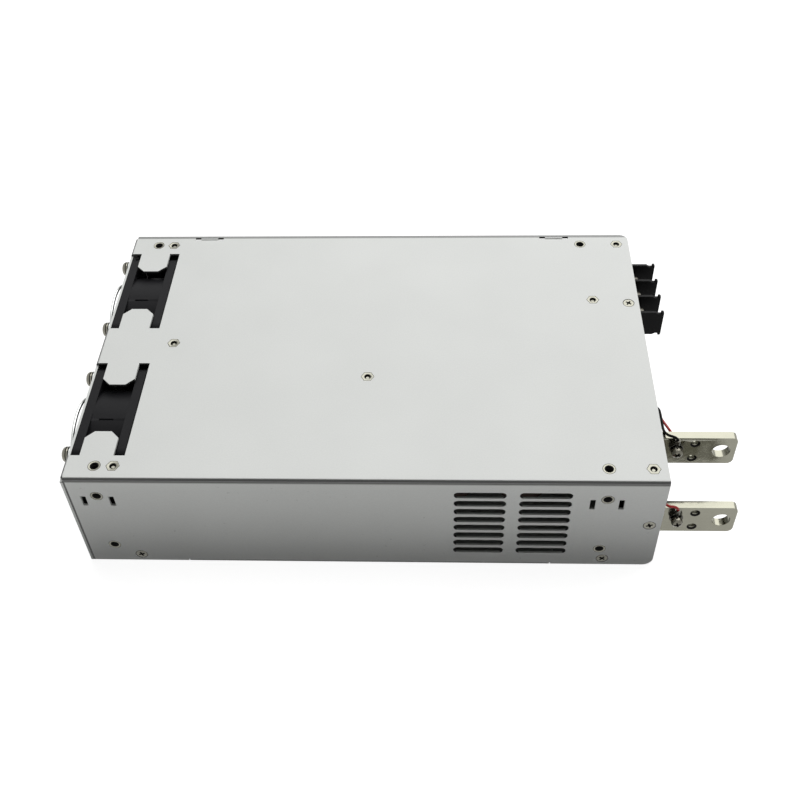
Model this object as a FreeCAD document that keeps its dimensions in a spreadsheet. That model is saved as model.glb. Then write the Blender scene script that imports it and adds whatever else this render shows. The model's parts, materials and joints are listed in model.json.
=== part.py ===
import FreeCAD, Part
import math
import os
import Sketcher

# Switching power supply in a folded sheet case, lying on its cover with the mounting base up.
# Frame: origin at the centre of the cover face it rests on, +Z up to the base plate,
# +X to the terminals and output bars, -X to the fans, -Y to the side wall with the vents.
# All lengths are in millimetres.

SIZES = [
    # Case sheet metal
    ("case_length", 278.0),
    ("case_width", 177.8),
    ("case_height", 63.5),
    ("sheet", 1.2),
    ("bend_radius", 1.6),
    ("corner_relief", 1.9),
    ("seam", 0.2),
    ("overcut", 1.0),
    ("base_corner_radius", 4.5),
    ("wall_corner_radius", 5.0),
    ("tongue_half_length", 89.4),
    ("tongue_end_gap", 0.4),
    # Tab and slot joint of the back wall
    ("wall_setback", 1.6),
    ("slot_length", 16.0),
    ("slot_gap", 0.7),
    ("slot_gap_back", 0.2),
    ("slot_centre", 97.2),
    ("slot_shift", 0.9),
    ("tab_length", 9.6),
    # Cover screw tabs
    ("cover_tab_start", 90.6),
    ("cover_tab_length", 44.0),
    ("cover_tab_height", 8.6),
    ("cover_screw_fan", 112.5),
    ("cover_screw_out", 114.4),
    ("cover_screw_height", 4.9),
    # Base and side mounting holes
    ("mount_fan", 124.3),
    ("mount_out", 112.25),
    ("base_mount_y", 80.85),
    ("side_mount_low", 12.9),
    ("side_mount_high", 51.1),
    ("mount_bore", 3.3),
    ("mount_ring", 6.1),
    ("mount_flange", 8.2),
    ("mount_flange_depth", 2.4),
    ("side_slot_width", 2.5),
    ("side_slot_height", 6.9),
    ("side_slot_offset", 6.6),
    ("side_slot_rise", 0.3),
    # Vents in both side walls
    ("vent_length", 24.2),
    ("vent_width", 4.2),
    ("vent_pitch", 6.07),
    ("vent_rows", 8.0),
    ("vent_low", 11.0),
    ("vent_start", 41.9),
    ("vent_column_pitch", 30.2),
    # Countersunk screws
    ("flat_head_radius", 3.0),
    ("flat_head_depth", 1.3),
    ("flat_head_gap", 0.05),
    ("flat_shank_radius", 1.5),
    ("flat_shank_length", 4.4),
    ("recess_span", 2.9),
    ("recess_width", 0.6),
    ("recess_depth", 0.9),
    # Terminal end panel
    ("panel_setback", 0.4),
    ("panel_flange", 9.5),
    ("panel_flange_half", 12.0),
    ("panel_top_half", 72.0),
    ("panel_gap", 0.2),
    ("panel_screw_x", 133.6),
    ("panel_screw_y", 31.8),
    ("panel_screw_z", 31.75),
    # Fans
    ("fan_size", 60.0),
    ("fan_depth", 25.4),
    ("fan_y", 43.4),
    ("fan_flange", 4.4),
    ("fan_corner", 5.0),
    ("fan_bore", 28.6),
    ("fan_barrel", 30.0),
    ("fan_screw_pitch", 50.0),
    ("fan_screw_hole", 2.2),
    ("fan_opening", 28.8),
    ("fan_hub", 16.5),
    ("fan_hub_depth", 19.0),
    ("fan_hub_wall", 2.0),
    ("fan_tip", 26.2),
    ("fan_blades", 7.0),
    ("fan_blade_thickness", 1.2),
    ("fan_blade_depth", 14.0),
    ("fan_blade_sweep_root", 9.0),
    ("fan_blade_sweep_tip", 19.0),
    ("fan_strut_width", 4.0),
    ("fan_strut_depth", 2.6),
    ("fan_motor_radius", 14.0),
    ("fan_motor_depth", 3.0),
    ("fan_end_gap", 0.6),
    ("fan_pin_radius", 1.5),
    ("fan_pin_gap", 0.05),
    ("fan_tunnel_radius", 3.2),
    ("fan_mark_length", 7.0),
    ("fan_mark_width", 1.0),
    ("fan_mark_depth", 1.2),
    ("fan_strut_gap", 0.1),
    ("fan_blade_bite", 1.4),
    ("fan_blade_camber", 1.0),
    ("fan_stator_radius", 10.0),
    ("fan_stator_depth", 9.0),
    ("fan_mark_y", 6.4),
    ("fan_mark_shift", 1.0),
    # Windows of the fans in the base
    ("window_length", 61.0),
    ("window_reach", 27.7),
    ("window_shift", -0.6),
    ("window_tab_reach", 15.0),
    ("window_tab_width", 16.0),
    ("window_tab_start", 6.3),
    ("window_tab_cut", 4.0),
    # Finger guards
    ("guard_wire", 0.8),
    ("guard_outer", 26.0),
    ("guard_middle", 18.6),
    ("guard_inner", 11.2),
    ("guard_arms", 4.0),
    # Fan screws
    ("pan_head_radius", 3.9),
    ("pan_head_height", 3.2),
    ("pan_shank_radius", 1.9),
    ("pan_shank_length", 8.6),
    ("pan_rim_share", 0.6),
    ("pan_crown_share", 0.72),
    ("cross_span", 3.8),
    ("cross_width", 0.9),
    ("cross_depth", 1.2),
    ("guard_eye", 2.9),
    ("guard_lift", 1.5),
    # Board, its standoffs and screws
    ("board_thickness", 1.6),
    ("board_standoff", 6.0),
    ("board_fan_edge", 110.5),
    ("board_out_edge", 136.8),
    ("board_half_width", 83.6),
    ("board_ear", 9.3),
    ("board_ear_width", 9.6),
    ("standoff_hex", 3.35),
    ("standoff_radius", 2.7),
    ("standoff_bore", 1.3),
    ("standoff_corner_fan", 115.6),
    ("standoff_corner_out", 132.3),
    ("standoff_corner_y", 80.8),
    ("standoff_terminal_x", 115.2),
    ("standoff_terminal_y", 34.4),
    ("standoff_fan_x", 101.7),
    ("standoff_fan_y", 1.2),
    ("standoff_middle_x", 0.6),
    ("standoff_middle_y", 22.6),
    ("board_screw_radius", 1.25),
    ("board_screw_gap", 0.25),
    ("board_screw_length", 5.0),
    ("board_head_radius", 2.8),
    ("board_head_height", 2.0),
    ("film_thickness", 0.4),
    ("film_start", 108.5),
    ("film_end", 124.0),
    ("film_half_width", 72.0),
    ("film_clearance", 5.0),
    # Input terminal block
    ("block_low", 33.5),
    ("block_high", 50.0),
    ("block_first_y", 40.2),
    ("block_pitch", 13.1),
    ("block_poles", 3.0),
    ("block_fin", 1.8),
    ("block_floor", 3.4),
    ("block_reach", 16.3),
    ("block_depth", 11.0),
    ("block_gap", 0.3),
    ("block_foot_inset", 6.0),
    ("fin_notch_start", 4.6),
    ("fin_notch_end", 3.1),
    ("fin_notch_depth", 1.4),
    ("fin_nub", 0.8),
    ("fin_edge_drop", 0.4),
    ("pole_screw_radius", 3.9),
    ("pole_screw_head", 3.0),
    ("pole_screw_shank", 1.9),
    ("pole_screw_length", 9.0),
    ("pole_hole_gap", 0.1),
    ("clamp_size", 9.6),
    ("clamp_thickness", 1.2),
    # Output bars
    ("bar_thickness", 4.2),
    ("bar_height", 18.4),
    ("bar_reach", 38.75),
    ("bar_corner", 3.0),
    ("bar_front_y", 76.7),
    ("bar_rear_y", 52.4),
    ("bar_front_low", 11.2),
    ("bar_rear_low", 33.9),
    ("bar_start", 112.0),
    ("bar_foot", 14.0),
    ("bar_hole", 4.35),
    ("bar_hole_inset", 6.85),
    ("bar_hole_drop", 9.3),
    ("bar_tap_hole", 1.65),
    ("bar_tap_inset", 19.95),
    ("bar_tap_drop", 4.1),
    ("bar_tap_pitch", 10.5),
    ("bar_sense_inset", 28.95),
    ("bar_sense_drop", 6.0),
    ("bar_pin_hole", 1.0),
    ("bar_pin_inset", 26.35),
    ("bar_pin_drop", 3.0),
    ("bush_wall", 1.6),
    ("bush_gap", 0.15),
    ("bush_flange", 1.4),
    ("bush_flange_depth", 0.9),
    ("bush_depth", 4.0),
    # Sense leads, lugs and their screws
    ("lug_radius", 3.0),
    ("lug_thickness", 0.9),
    ("lug_barrel", 1.4),
    ("lug_barrel_length", 2.8),
    ("lug_barrel_start", 3.4),
    ("lug_neck_start", 1.6),
    ("lug_neck_length", 2.6),
    ("washer_radius", 3.3),
    ("washer_thickness", 0.9),
    ("spring_washer_radius", 2.8),
    ("spring_washer_thickness", 1.1),
    ("lug_screw_radius", 2.75),
    ("lug_screw_head", 3.0),
    ("lug_shank_radius", 1.45),
    ("lug_shank_extra", 1.2),
    ("lead_radius", 0.65),
    # Signal board at the output end
    ("signal_setback", 8.4),
    ("signal_low", 30.0),
    ("signal_start", -36.0),
    ("signal_end", 12.0),
    ("signal_connector_y", -27.0),
    ("signal_row_z", 45.5),
    ("header_width", 12.0),
    ("header_height", 8.0),
    ("header_depth", 8.0),
    ("header_wall", 0.9),
    ("plug_gap", 0.1),
    ("plug_start", 1.2),
    ("plug_length", 12.7),
    ("led_y", -11.0),
    ("led_radius", 1.5),
    ("led_rim", 1.9),
    ("led_rim_depth", 1.0),
    ("led_length", 9.0),
    ("trimmer_y", 2.0),
    ("trimmer_size", 9.6),
    ("trimmer_depth", 4.8),
    ("trimmer_rotor", 3.2),
    ("trimmer_rotor_depth", 2.2),
    ("trimmer_shaft", 1.2),
    ("trimmer_shaft_gap", 0.05),
    ("trimmer_shaft_length", 3.0),
    ("trimmer_lift", 0.1),
    ("trimmer_slot", 1.0),
    ("trimmer_slot_reach", 2.6),
    ("trimmer_slot_depth", 0.8),
    ("trimmer_access", 3.6),
    # Vent slots in the terminal panel
    ("panel_vent_start", -14.0),
    ("panel_vent_pitch", 6.0),
    ("panel_vent_count", 7.0),
    ("panel_vent_width", 3.0),
    ("panel_vent_low", 8.0),
    ("panel_vent_high", 26.0),
    # Parts on the main board
    ("bulk_radius", 15.0),
    ("bulk_height", 46.0),
    ("bulk_groove", 0.8),
    ("bulk_groove_drop", 3.2),
    ("bulk_x", -87.0),
    ("bulk_y", 64.0),
    ("bulk_pitch_x", 32.0),
    ("bulk_pitch_y", 32.0),
    ("choke_outer", 19.0),
    ("choke_inner", 8.0),
    ("choke_height", 20.0),
    ("choke_x", -8.0),
    ("choke_y", 62.0),
    ("choke_pitch", 42.0),
    ("line_choke_outer", 15.0),
    ("line_choke_inner", 7.0),
    ("line_choke_height", 18.0),
    ("line_choke_x", 76.0),
    ("line_choke_pitch", 33.0),
    ("filter_length", 26.0),
    ("filter_width", 10.0),
    ("filter_height", 17.0),
    ("filter_x", 64.0),
    ("filter_y", 34.0),
    ("filter_pitch", 30.0),
    ("fuse_radius", 3.2),
    ("fuse_length", 30.0),
    ("fuse_cap", 6.0),
    ("fuse_x", 62.0),
    ("fuse_y", 20.0),
    ("fuse_drop", 5.0),
    ("relay_length", 29.0),
    ("relay_width", 13.0),
    ("relay_height", 16.0),
    ("relay_x", 98.0),
    ("relay_y", 14.0),
    ("sink_plate", 3.0),
    ("sink_height", 42.0),
    ("sink_fin_reach", 9.0),
    ("sink_fin", 1.5),
    ("sink_fin_pitch", 6.5),
    ("sink_fin_count", 6.0),
    ("sink_fin_low", 3.0),
    ("sink_pfc_x", -30.0),
    ("sink_pfc_y", 26.0),
    ("sink_pfc_length", 80.0),
    ("sink_inverter_x", -100.0),
    ("sink_inverter_y", -9.0),
    ("sink_inverter_length", 84.0),
    ("sink_output_x", 20.0),
    ("sink_output_y", -38.0),
    ("sink_output_length", 84.0),
    ("device_length", 15.6),
    ("device_width", 5.0),
    ("device_height", 20.0),
    ("device_drop", 6.0),
    ("device_lead_width", 11.0),
    ("device_lead_thickness", 0.6),
    ("device_margin", 6.0),
    ("device_count", 4.0),
    ("core_length", 42.0),
    ("core_width", 16.0),
    ("core_height", 40.0),
    ("core_leg", 6.0),
    ("core_centre", 14.0),
    ("core_yoke", 7.0),
    ("coil_radius", 14.4),
    ("coil_gap", 0.3),
    ("transformer_x", -72.0),
    ("transformer_y", -50.0),
    ("transformer_pitch", 52.0),
    ("output_choke_x", 40.0),
    ("output_choke_y", -66.0),
    ("output_choke_pitch", 34.0),
    ("output_choke_outer", 14.0),
    ("output_choke_inner", 6.0),
    ("output_choke_height", 16.0),
    ("output_cap_radius", 5.0),
    ("output_cap_height", 25.0),
    ("output_cap_x", 24.0),
    ("output_cap_y", -18.0),
    ("output_cap_pitch", 12.0),
    ("output_cap_rows", 2.0),
    ("output_cap_columns", 7.0),
    ("control_length", 58.0),
    ("control_height", 34.0),
    ("control_x", -50.0),
    ("control_y", 6.0),
    ("control_chips", 2.0),
    ("control_chip_length", 12.0),
    ("control_chip_height", 8.0),
    ("control_chip_depth", 2.0),
]


class Size:
    """A length that keeps its number and the expression that gives it."""

    def __init__(self, value, text):
        self.value = float(value)
        self.text = text

    def joined(self, other, sign, value):
        return Size(value, "(" + self.text + " " + sign + " " + other.text + ")")

    def __add__(self, other):
        other = as_size(other)
        return self.joined(other, "+", self.value + other.value)

    def __sub__(self, other):
        other = as_size(other)
        return self.joined(other, "-", self.value - other.value)

    def __mul__(self, other):
        other = as_size(other)
        return self.joined(other, "*", self.value * other.value)

    def __truediv__(self, other):
        other = as_size(other)
        return self.joined(other, "/", self.value / other.value)

    def __radd__(self, other):
        return as_size(other) + self

    def __rsub__(self, other):
        return as_size(other) - self

    def __rmul__(self, other):
        return as_size(other) * self

    def __neg__(self):
        return Size(-self.value, "(-" + self.text + ")")


def as_size(number):
    """A plain number becomes a size whose expression is the number itself."""
    if isinstance(number, Size):
        return number
    return Size(number, "(" + repr(float(number)) + ")")


class Dimensions:
    """Every driving dimension by name, as a size bound to its spreadsheet cell."""

    def __init__(self, sheet, rows):
        for row, (name, value) in enumerate(rows, start=1):
            sheet.set("A%d" % row, name)
            sheet.set("B%d" % row, str(value))
            sheet.setAlias("B%d" % row, name)
            setattr(self, name, Size(value, "Sizes." + name))


doc = FreeCAD.newDocument("PowerSupply")
spreadsheet = doc.addObject("Spreadsheet::Sheet", "Sizes")
d = Dimensions(spreadsheet, SIZES)
doc.recompute()

# Derived places of the case
X_FAN = -d.case_length / 2
X_OUT = d.case_length / 2
Y_FRONT = -d.case_width / 2
Y_BACK = d.case_width / 2
Z_TOP = d.case_height
Z_BASE = d.case_height - d.sheet
Z_MID = d.case_height / 2
BEND_INNER = d.bend_radius - d.sheet
WALL_BACK = Y_BACK - d.wall_setback

# Hexagon of the standoffs: its sides, and the distance to a flat over that to a corner
HEXAGON_SIDES = 6
HEXAGON_FLAT = math.sqrt(3) / 2

# Board level, and the standoffs that carry the board
BOARD_TOP = Z_BASE - d.board_standoff
BOARD_LOW = BOARD_TOP - d.board_thickness
STANDOFFS = (
    (-d.standoff_corner_fan, -d.standoff_corner_y), (-d.standoff_corner_fan, d.standoff_corner_y),
    (d.standoff_corner_out, -d.standoff_corner_y), (d.standoff_corner_out, d.standoff_corner_y),
    (d.standoff_terminal_x, d.standoff_terminal_y), (-d.standoff_fan_x, d.standoff_fan_y),
    (-d.standoff_middle_x, -d.standoff_middle_y))

parts = []


def bind(item, path, length):
    """Ties a property to the expression of a size."""
    item.setExpression(path, as_size(length).text)


def place(item, x, y, z, rotation=None):
    """Puts an object at a place given by sizes, turned by a fixed rotation."""
    if rotation is not None:
        item.Placement = FreeCAD.Placement(FreeCAD.Vector(0, 0, 0), rotation)
    bind(item, "Placement.Base.x", x)
    bind(item, "Placement.Base.y", y)
    bind(item, "Placement.Base.z", z)
    return item


def keep(item, label):
    """Marks an object as a finished sub-part under its own name."""
    item.Label = label
    parts.append(item)
    return item


# Outlines for sketches

def outline(*corners):
    """Closed outline of (x, y) corners; a third value rounds a right-angled corner."""
    def draw(drawing):
        count = len(corners)
        entries = []
        exits = []
        arcs = []
        for index, corner in enumerate(corners):
            x, y = as_size(corner[0]), as_size(corner[1])
            if len(corner) == 2:
                entries.append((x, y))
                exits.append((x, y))
                arcs.append(None)
                continue
            radius = as_size(corner[2])
            before = corners[index - 1]
            after = corners[(index + 1) % count]
            ends = []
            for other in (before, after):
                step_x = as_size(other[0]).value - x.value
                step_y = as_size(other[1]).value - y.value
                if abs(step_x) > abs(step_y):
                    ends.append((x + math.copysign(1, step_x) * radius, y))
                else:
                    ends.append((x, y + math.copysign(1, step_y) * radius))
            entries.append(ends[0])
            exits.append(ends[1])
            arcs.append(radius)
        lines = []
        for index in range(count):
            start = exits[index]
            end = entries[(index + 1) % count]
            segment = Part.LineSegment(
                FreeCAD.Vector(start[0].value, start[1].value, 0),
                FreeCAD.Vector(end[0].value, end[1].value, 0))
            line = drawing.addGeometry(segment, False)
            fix_point(drawing, line, 1, start)
            fix_point(drawing, line, 2, end)
            lines.append(line)
        for index, radius in enumerate(arcs):
            if radius is None:
                continue
            add_corner_arc(drawing, lines[index - 1], lines[index], entries[index],
                           exits[index], corners[index], radius)
    return draw


def fix_point(drawing, geometry, end, point):
    """Fixes one end of a line at a place given by sizes."""
    across = drawing.addConstraint(Sketcher.Constraint("DistanceX", geometry, end, point[0].value))
    bind(drawing, "Constraints[%d]" % across, point[0])
    along = drawing.addConstraint(Sketcher.Constraint("DistanceY", geometry, end, point[1].value))
    bind(drawing, "Constraints[%d]" % along, point[1])


def add_corner_arc(drawing, line_in, line_out, entry, leave, corner, radius):
    """Joins two lines at a right angle with an arc of the given radius."""
    corner_x = as_size(corner[0]).value
    corner_y = as_size(corner[1]).value
    centre = FreeCAD.Vector(entry[0].value + leave[0].value - corner_x,
                            entry[1].value + leave[1].value - corner_y, 0)
    start = math.atan2(entry[1].value - centre.y, entry[0].value - centre.x)
    finish = math.atan2(leave[1].value - centre.y, leave[0].value - centre.x)
    turn = (finish - start) % (2 * math.pi)
    forward = turn < math.pi
    circle_shape = Part.Circle(centre, FreeCAD.Vector(0, 0, 1), radius.value)
    if forward:
        arc = drawing.addGeometry(Part.ArcOfCircle(circle_shape, start, finish), False)
    else:
        arc = drawing.addGeometry(Part.ArcOfCircle(circle_shape, finish, start), False)
    first, last = (1, 2) if forward else (2, 1)
    drawing.addConstraint(Sketcher.Constraint("Coincident", arc, first, line_in, 2))
    drawing.addConstraint(Sketcher.Constraint("Coincident", arc, last, line_out, 1))
    size = drawing.addConstraint(Sketcher.Constraint("Radius", arc, radius.value))
    bind(drawing, "Constraints[%d]" % size, radius)


def rectangle(x_low, y_low, x_high, y_high, radius=None):
    """Closed rectangle, with rounded corners where a radius is given."""
    corners = [(x_low, y_low), (x_high, y_low), (x_high, y_high), (x_low, y_high)]
    if radius is not None:
        corners = [corner + (radius,) for corner in corners]
    return outline(*corners)


def circle(x, y, radius):
    """Circle about a centre given by sizes."""
    def draw(drawing):
        spot = FreeCAD.Vector(as_size(x).value, as_size(y).value, 0)
        shape = Part.Circle(spot, FreeCAD.Vector(0, 0, 1), as_size(radius).value)
        ring = drawing.addGeometry(shape, False)
        fix_point(drawing, ring, 3, (as_size(x), as_size(y)))
        size = drawing.addConstraint(Sketcher.Constraint("Radius", ring, as_size(radius).value))
        bind(drawing, "Constraints[%d]" % size, radius)
    return draw


def slot(x_low, x_high, y, width):
    """Slot with round ends along the first axis of the sketch."""
    def draw(drawing):
        half = as_size(width) / 2
        left = as_size(x_low) + half
        right = as_size(x_high) - half
        level = as_size(y)
        ends = []
        for height, start, finish in ((level - half, left, right), (level + half, right, left)):
            segment = Part.LineSegment(
                FreeCAD.Vector(start.value, height.value, 0),
                FreeCAD.Vector(finish.value, height.value, 0))
            line = drawing.addGeometry(segment, False)
            fix_point(drawing, line, 1, (start, height))
            fix_point(drawing, line, 2, (finish, height))
            ends.append(line)
        for centre, before, after, quarter in ((right, ends[0], ends[1], -0.5),
                                               (left, ends[1], ends[0], 0.5)):
            shape = Part.Circle(FreeCAD.Vector(centre.value, level.value, 0),
                                FreeCAD.Vector(0, 0, 1), half.value)
            start = quarter * math.pi
            arc = drawing.addGeometry(Part.ArcOfCircle(shape, start, start + math.pi), False)
            drawing.addConstraint(Sketcher.Constraint("Coincident", arc, 1, before, 2))
            drawing.addConstraint(Sketcher.Constraint("Coincident", arc, 2, after, 1))
            across = drawing.addConstraint(
                Sketcher.Constraint("DistanceX", arc, 3, centre.value))
            bind(drawing, "Constraints[%d]" % across, centre)
    return draw


def hexagon(x, y, reach):
    """Hexagon with two corners along the first axis, reach from centre to corner."""
    half = as_size(reach) / 2
    flat = as_size(reach) * HEXAGON_FLAT
    return outline((x + reach, y), (x + half, y + flat), (x - half, y + flat),
                   (x - reach, y), (x - half, y - flat), (x + half, y - flat))


# Bodies built from pads and pockets

def new_body(label):
    """Starts a sub-part as a body of its own."""
    return keep(doc.addObject("PartDesign::Body", label), label)


def sketch_on(body, plane, at, outlines):
    """Draws outlines on a plane of the body's origin, moved to a place along its axis."""
    support = [item for item in body.Origin.OriginFeatures if item.Role == plane + "_Plane"][0]
    drawing = body.newObject("Sketcher::SketchObject", body.Label + "_sketch")
    drawing.AttachmentSupport = (support, [""])
    drawing.MapMode = "FlatFace"
    offset = -as_size(at) if plane == "XZ" else as_size(at)
    bind(drawing, "AttachmentOffset.Base.z", offset)
    for draw in outlines:
        draw(drawing)
    return drawing


def pad(body, plane, low, high, *outlines):
    """Adds material between two places along the plane's axis."""
    feature = body.newObject("PartDesign::Pad", body.Label + "_pad")
    feature.Profile = sketch_on(body, plane, low, outlines)
    feature.Reversed = plane == "XZ"
    bind(feature, "Length", as_size(high) - low)
    body.Tip = feature
    return feature


def cut(body, plane, low, high, *outlines):
    """Removes material between two places along the plane's axis."""
    feature = body.newObject("PartDesign::Pocket", body.Label + "_cut")
    feature.Profile = sketch_on(body, plane, low, outlines)
    feature.Reversed = plane != "XZ"
    bind(feature, "Length", as_size(high) - low)
    body.Tip = feature
    return feature


def repeat_along(body, features, axis, spacing, count):
    """Repeats features along an axis of the body."""
    pattern = body.newObject("PartDesign::LinearPattern", body.Label + "_row")
    pattern.Originals = features
    line = [item for item in body.Origin.OriginFeatures if item.Role == axis + "_Axis"][0]
    pattern.Direction = (line, [""])
    bind(pattern, "Length", as_size(spacing) * (as_size(count) - 1))
    bind(pattern, "Occurrences", count)
    body.Tip = pattern
    return pattern


def repeat_about(body, features, axis, count):
    """Repeats features in a ring about an axis of the body."""
    pattern = body.newObject("PartDesign::PolarPattern", body.Label + "_ring")
    pattern.Originals = features
    line = [item for item in body.Origin.OriginFeatures if item.Role == axis + "_Axis"][0]
    pattern.Axis = (line, [""])
    pattern.Angle = 360
    bind(pattern, "Occurrences", count)
    body.Tip = pattern
    return pattern


def round_edges(body, radius, chosen):
    """Rounds the edges of the body's latest feature that the test chooses."""
    doc.recompute()
    base = body.Tip
    names = ["Edge%d" % (index + 1) for index, edge in enumerate(base.Shape.Edges)
             if chosen(edge)]
    feature = body.newObject("PartDesign::Fillet", body.Label + "_round")
    feature.Base = (base, names)
    bind(feature, "Radius", radius)
    body.Tip = feature
    return feature


def straight_edge_at(direction, **places):
    """Test for a straight edge along an axis that passes the given coordinates."""
    def chosen(edge):
        if edge.Curve.TypeId != "Part::GeomLine":
            return False
        if abs(edge.Curve.Direction.dot(direction)) < 0.999:
            return False
        middle = edge.CenterOfMass
        return all(abs(getattr(middle, axis) - as_size(at).value) < 0.01
                   for axis, at in places.items())
    return chosen


ALONG_X = FreeCAD.Vector(1, 0, 0)
ALONG_Y = FreeCAD.Vector(0, 1, 0)
ALONG_Z = FreeCAD.Vector(0, 0, 1)


# Folded sheet case

def countersink(body, x, y, z, rotation):
    """Conical seat of a flat screw head, narrowing along the turned z axis."""
    cone = body.newObject("PartDesign::SubtractiveCone", body.Label + "_seat")
    bind(cone, "Radius1", d.flat_head_radius + d.flat_head_gap)
    bind(cone, "Radius2", d.flat_shank_radius + d.flat_head_gap)
    bind(cone, "Height", d.flat_head_depth)
    place(cone, x, y, z, rotation)
    body.Tip = cone
    return cone


def fan_window(centre):
    """Window over a fan, with two chamfered tabs that reach in over the fan."""
    low = centre - d.window_length / 2
    high = centre + d.window_length / 2
    left = X_FAN - d.overcut
    right = X_FAN + d.window_reach
    tab_left = X_FAN + d.window_tab_start
    tab_right = tab_left + d.window_tab_width
    bevel = d.window_tab_cut
    reach = d.window_tab_reach
    return outline(
        (left, low), (tab_left, low), (tab_left, low + reach - bevel),
        (tab_left + bevel, low + reach), (tab_right - bevel, low + reach),
        (tab_right, low + reach - bevel), (tab_right, low), (right, low),
        (right, high), (tab_right, high), (tab_right, high - reach + bevel),
        (tab_right - bevel, high - reach), (tab_left + bevel, high - reach),
        (tab_left, high - reach + bevel), (tab_left, high), (left, high))


def side_wall_cuts(body, low, high):
    """Mounting holes, lanced slots and vents that both side walls have alike."""
    holes = []
    for x in (-d.mount_fan, d.mount_out):
        for z in (d.side_mount_low, d.side_mount_high):
            holes.append(circle(x, z, d.mount_ring / 2))
        for side in (-1, 1):
            middle = x + side * d.side_slot_offset
            top = d.side_mount_high - d.side_slot_rise
            holes.append(rectangle(middle - d.side_slot_width / 2, top - d.side_slot_height,
                                   middle + d.side_slot_width / 2, top))
    cut(body, "XZ", low, high, *holes)
    vents = []
    for column in range(2):
        start = d.vent_start + column * d.vent_column_pitch
        vents.append(slot(start, start + d.vent_length, d.vent_low, d.vent_width))
    first = cut(body, "XZ", low, high, *vents)
    repeat_along(body, [first], "Z", d.vent_pitch, d.vent_rows)


def make_chassis():
    """Base plate, front side wall and fan end panel, folded from one sheet."""
    body = new_body("chassis")
    start = X_FAN + d.sheet + d.seam
    pad(body, "YZ", start, X_OUT, outline(
        (Y_FRONT, 0), (Y_FRONT, Z_TOP, d.bend_radius), (Y_BACK, Z_TOP), (Y_BACK, Z_BASE),
        (Y_FRONT + d.sheet, Z_BASE, BEND_INNER), (Y_FRONT + d.sheet, 0)))
    lap = start + d.overcut
    pad(body, "XZ", Y_FRONT + d.corner_relief, Y_BACK - d.corner_relief, outline(
        (X_FAN, 0), (X_FAN + d.sheet, 0), (X_FAN + d.sheet, Z_BASE, BEND_INNER),
        (lap, Z_BASE), (lap, Z_TOP), (X_FAN, Z_TOP, d.bend_radius)))
    pad(body, "YZ", X_FAN, X_FAN + d.sheet,
        rectangle(Y_FRONT, 0, Y_BACK, Z_TOP - d.corner_relief))
    round_edges(body, d.base_corner_radius, straight_edge_at(ALONG_Z, x=X_OUT, y=Y_BACK))
    round_edges(body, d.wall_corner_radius, straight_edge_at(ALONG_Y, x=X_OUT, z=0))
    cut(body, "XZ", Y_FRONT, Y_FRONT + d.sheet,
        rectangle(-d.tongue_half_length, -d.overcut, d.tongue_half_length, d.sheet))
    for side in (-1, 1):
        cut(body, "XY", Z_TOP - d.bend_radius, Z_TOP, fan_window(side * d.fan_y + d.window_shift))
    base_holes = []
    for x in (-d.mount_fan, d.mount_out):
        for side in (-1, 1):
            base_holes.append(circle(x, side * d.base_mount_y, d.mount_ring / 2))
    slot_low = WALL_BACK - d.sheet - d.slot_gap
    slot_high = WALL_BACK + d.slot_gap_back
    for side in (-1, 1):
        centre = side * d.slot_centre + d.slot_shift
        base_holes.append(rectangle(centre - d.slot_length / 2, slot_low,
                                    centre + d.slot_length / 2, slot_high))
    base_holes.extend(hexagon(x, y, d.standoff_hex) for x, y in STANDOFFS)
    cut(body, "XY", Z_BASE, Z_TOP, *base_holes)
    end_holes = []
    for side in (-1, 1):
        end_holes.append(circle(side * d.fan_y, Z_MID, d.fan_opening))
        for step_y in (-1, 1):
            for step_z in (-1, 1):
                end_holes.append(circle(side * d.fan_y + step_y * d.fan_screw_pitch / 2,
                                        Z_MID + step_z * d.fan_screw_pitch / 2,
                                        d.fan_screw_hole))
    cut(body, "YZ", X_FAN, X_FAN + d.sheet, *end_holes)
    side_wall_cuts(body, Y_FRONT, Y_FRONT + d.sheet)
    towards_back = FreeCAD.Rotation(ALONG_X, -90)
    countersink(body, -d.cover_screw_fan, Y_FRONT, d.cover_screw_height, towards_back)
    countersink(body, d.cover_screw_out, Y_FRONT, d.cover_screw_height, towards_back)
    countersink(body, d.panel_screw_x, Y_FRONT, d.panel_screw_z, towards_back)
    countersink(body, d.panel_screw_x, d.panel_screw_y, Z_TOP, FreeCAD.Rotation(ALONG_X, 180))
    return body


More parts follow.
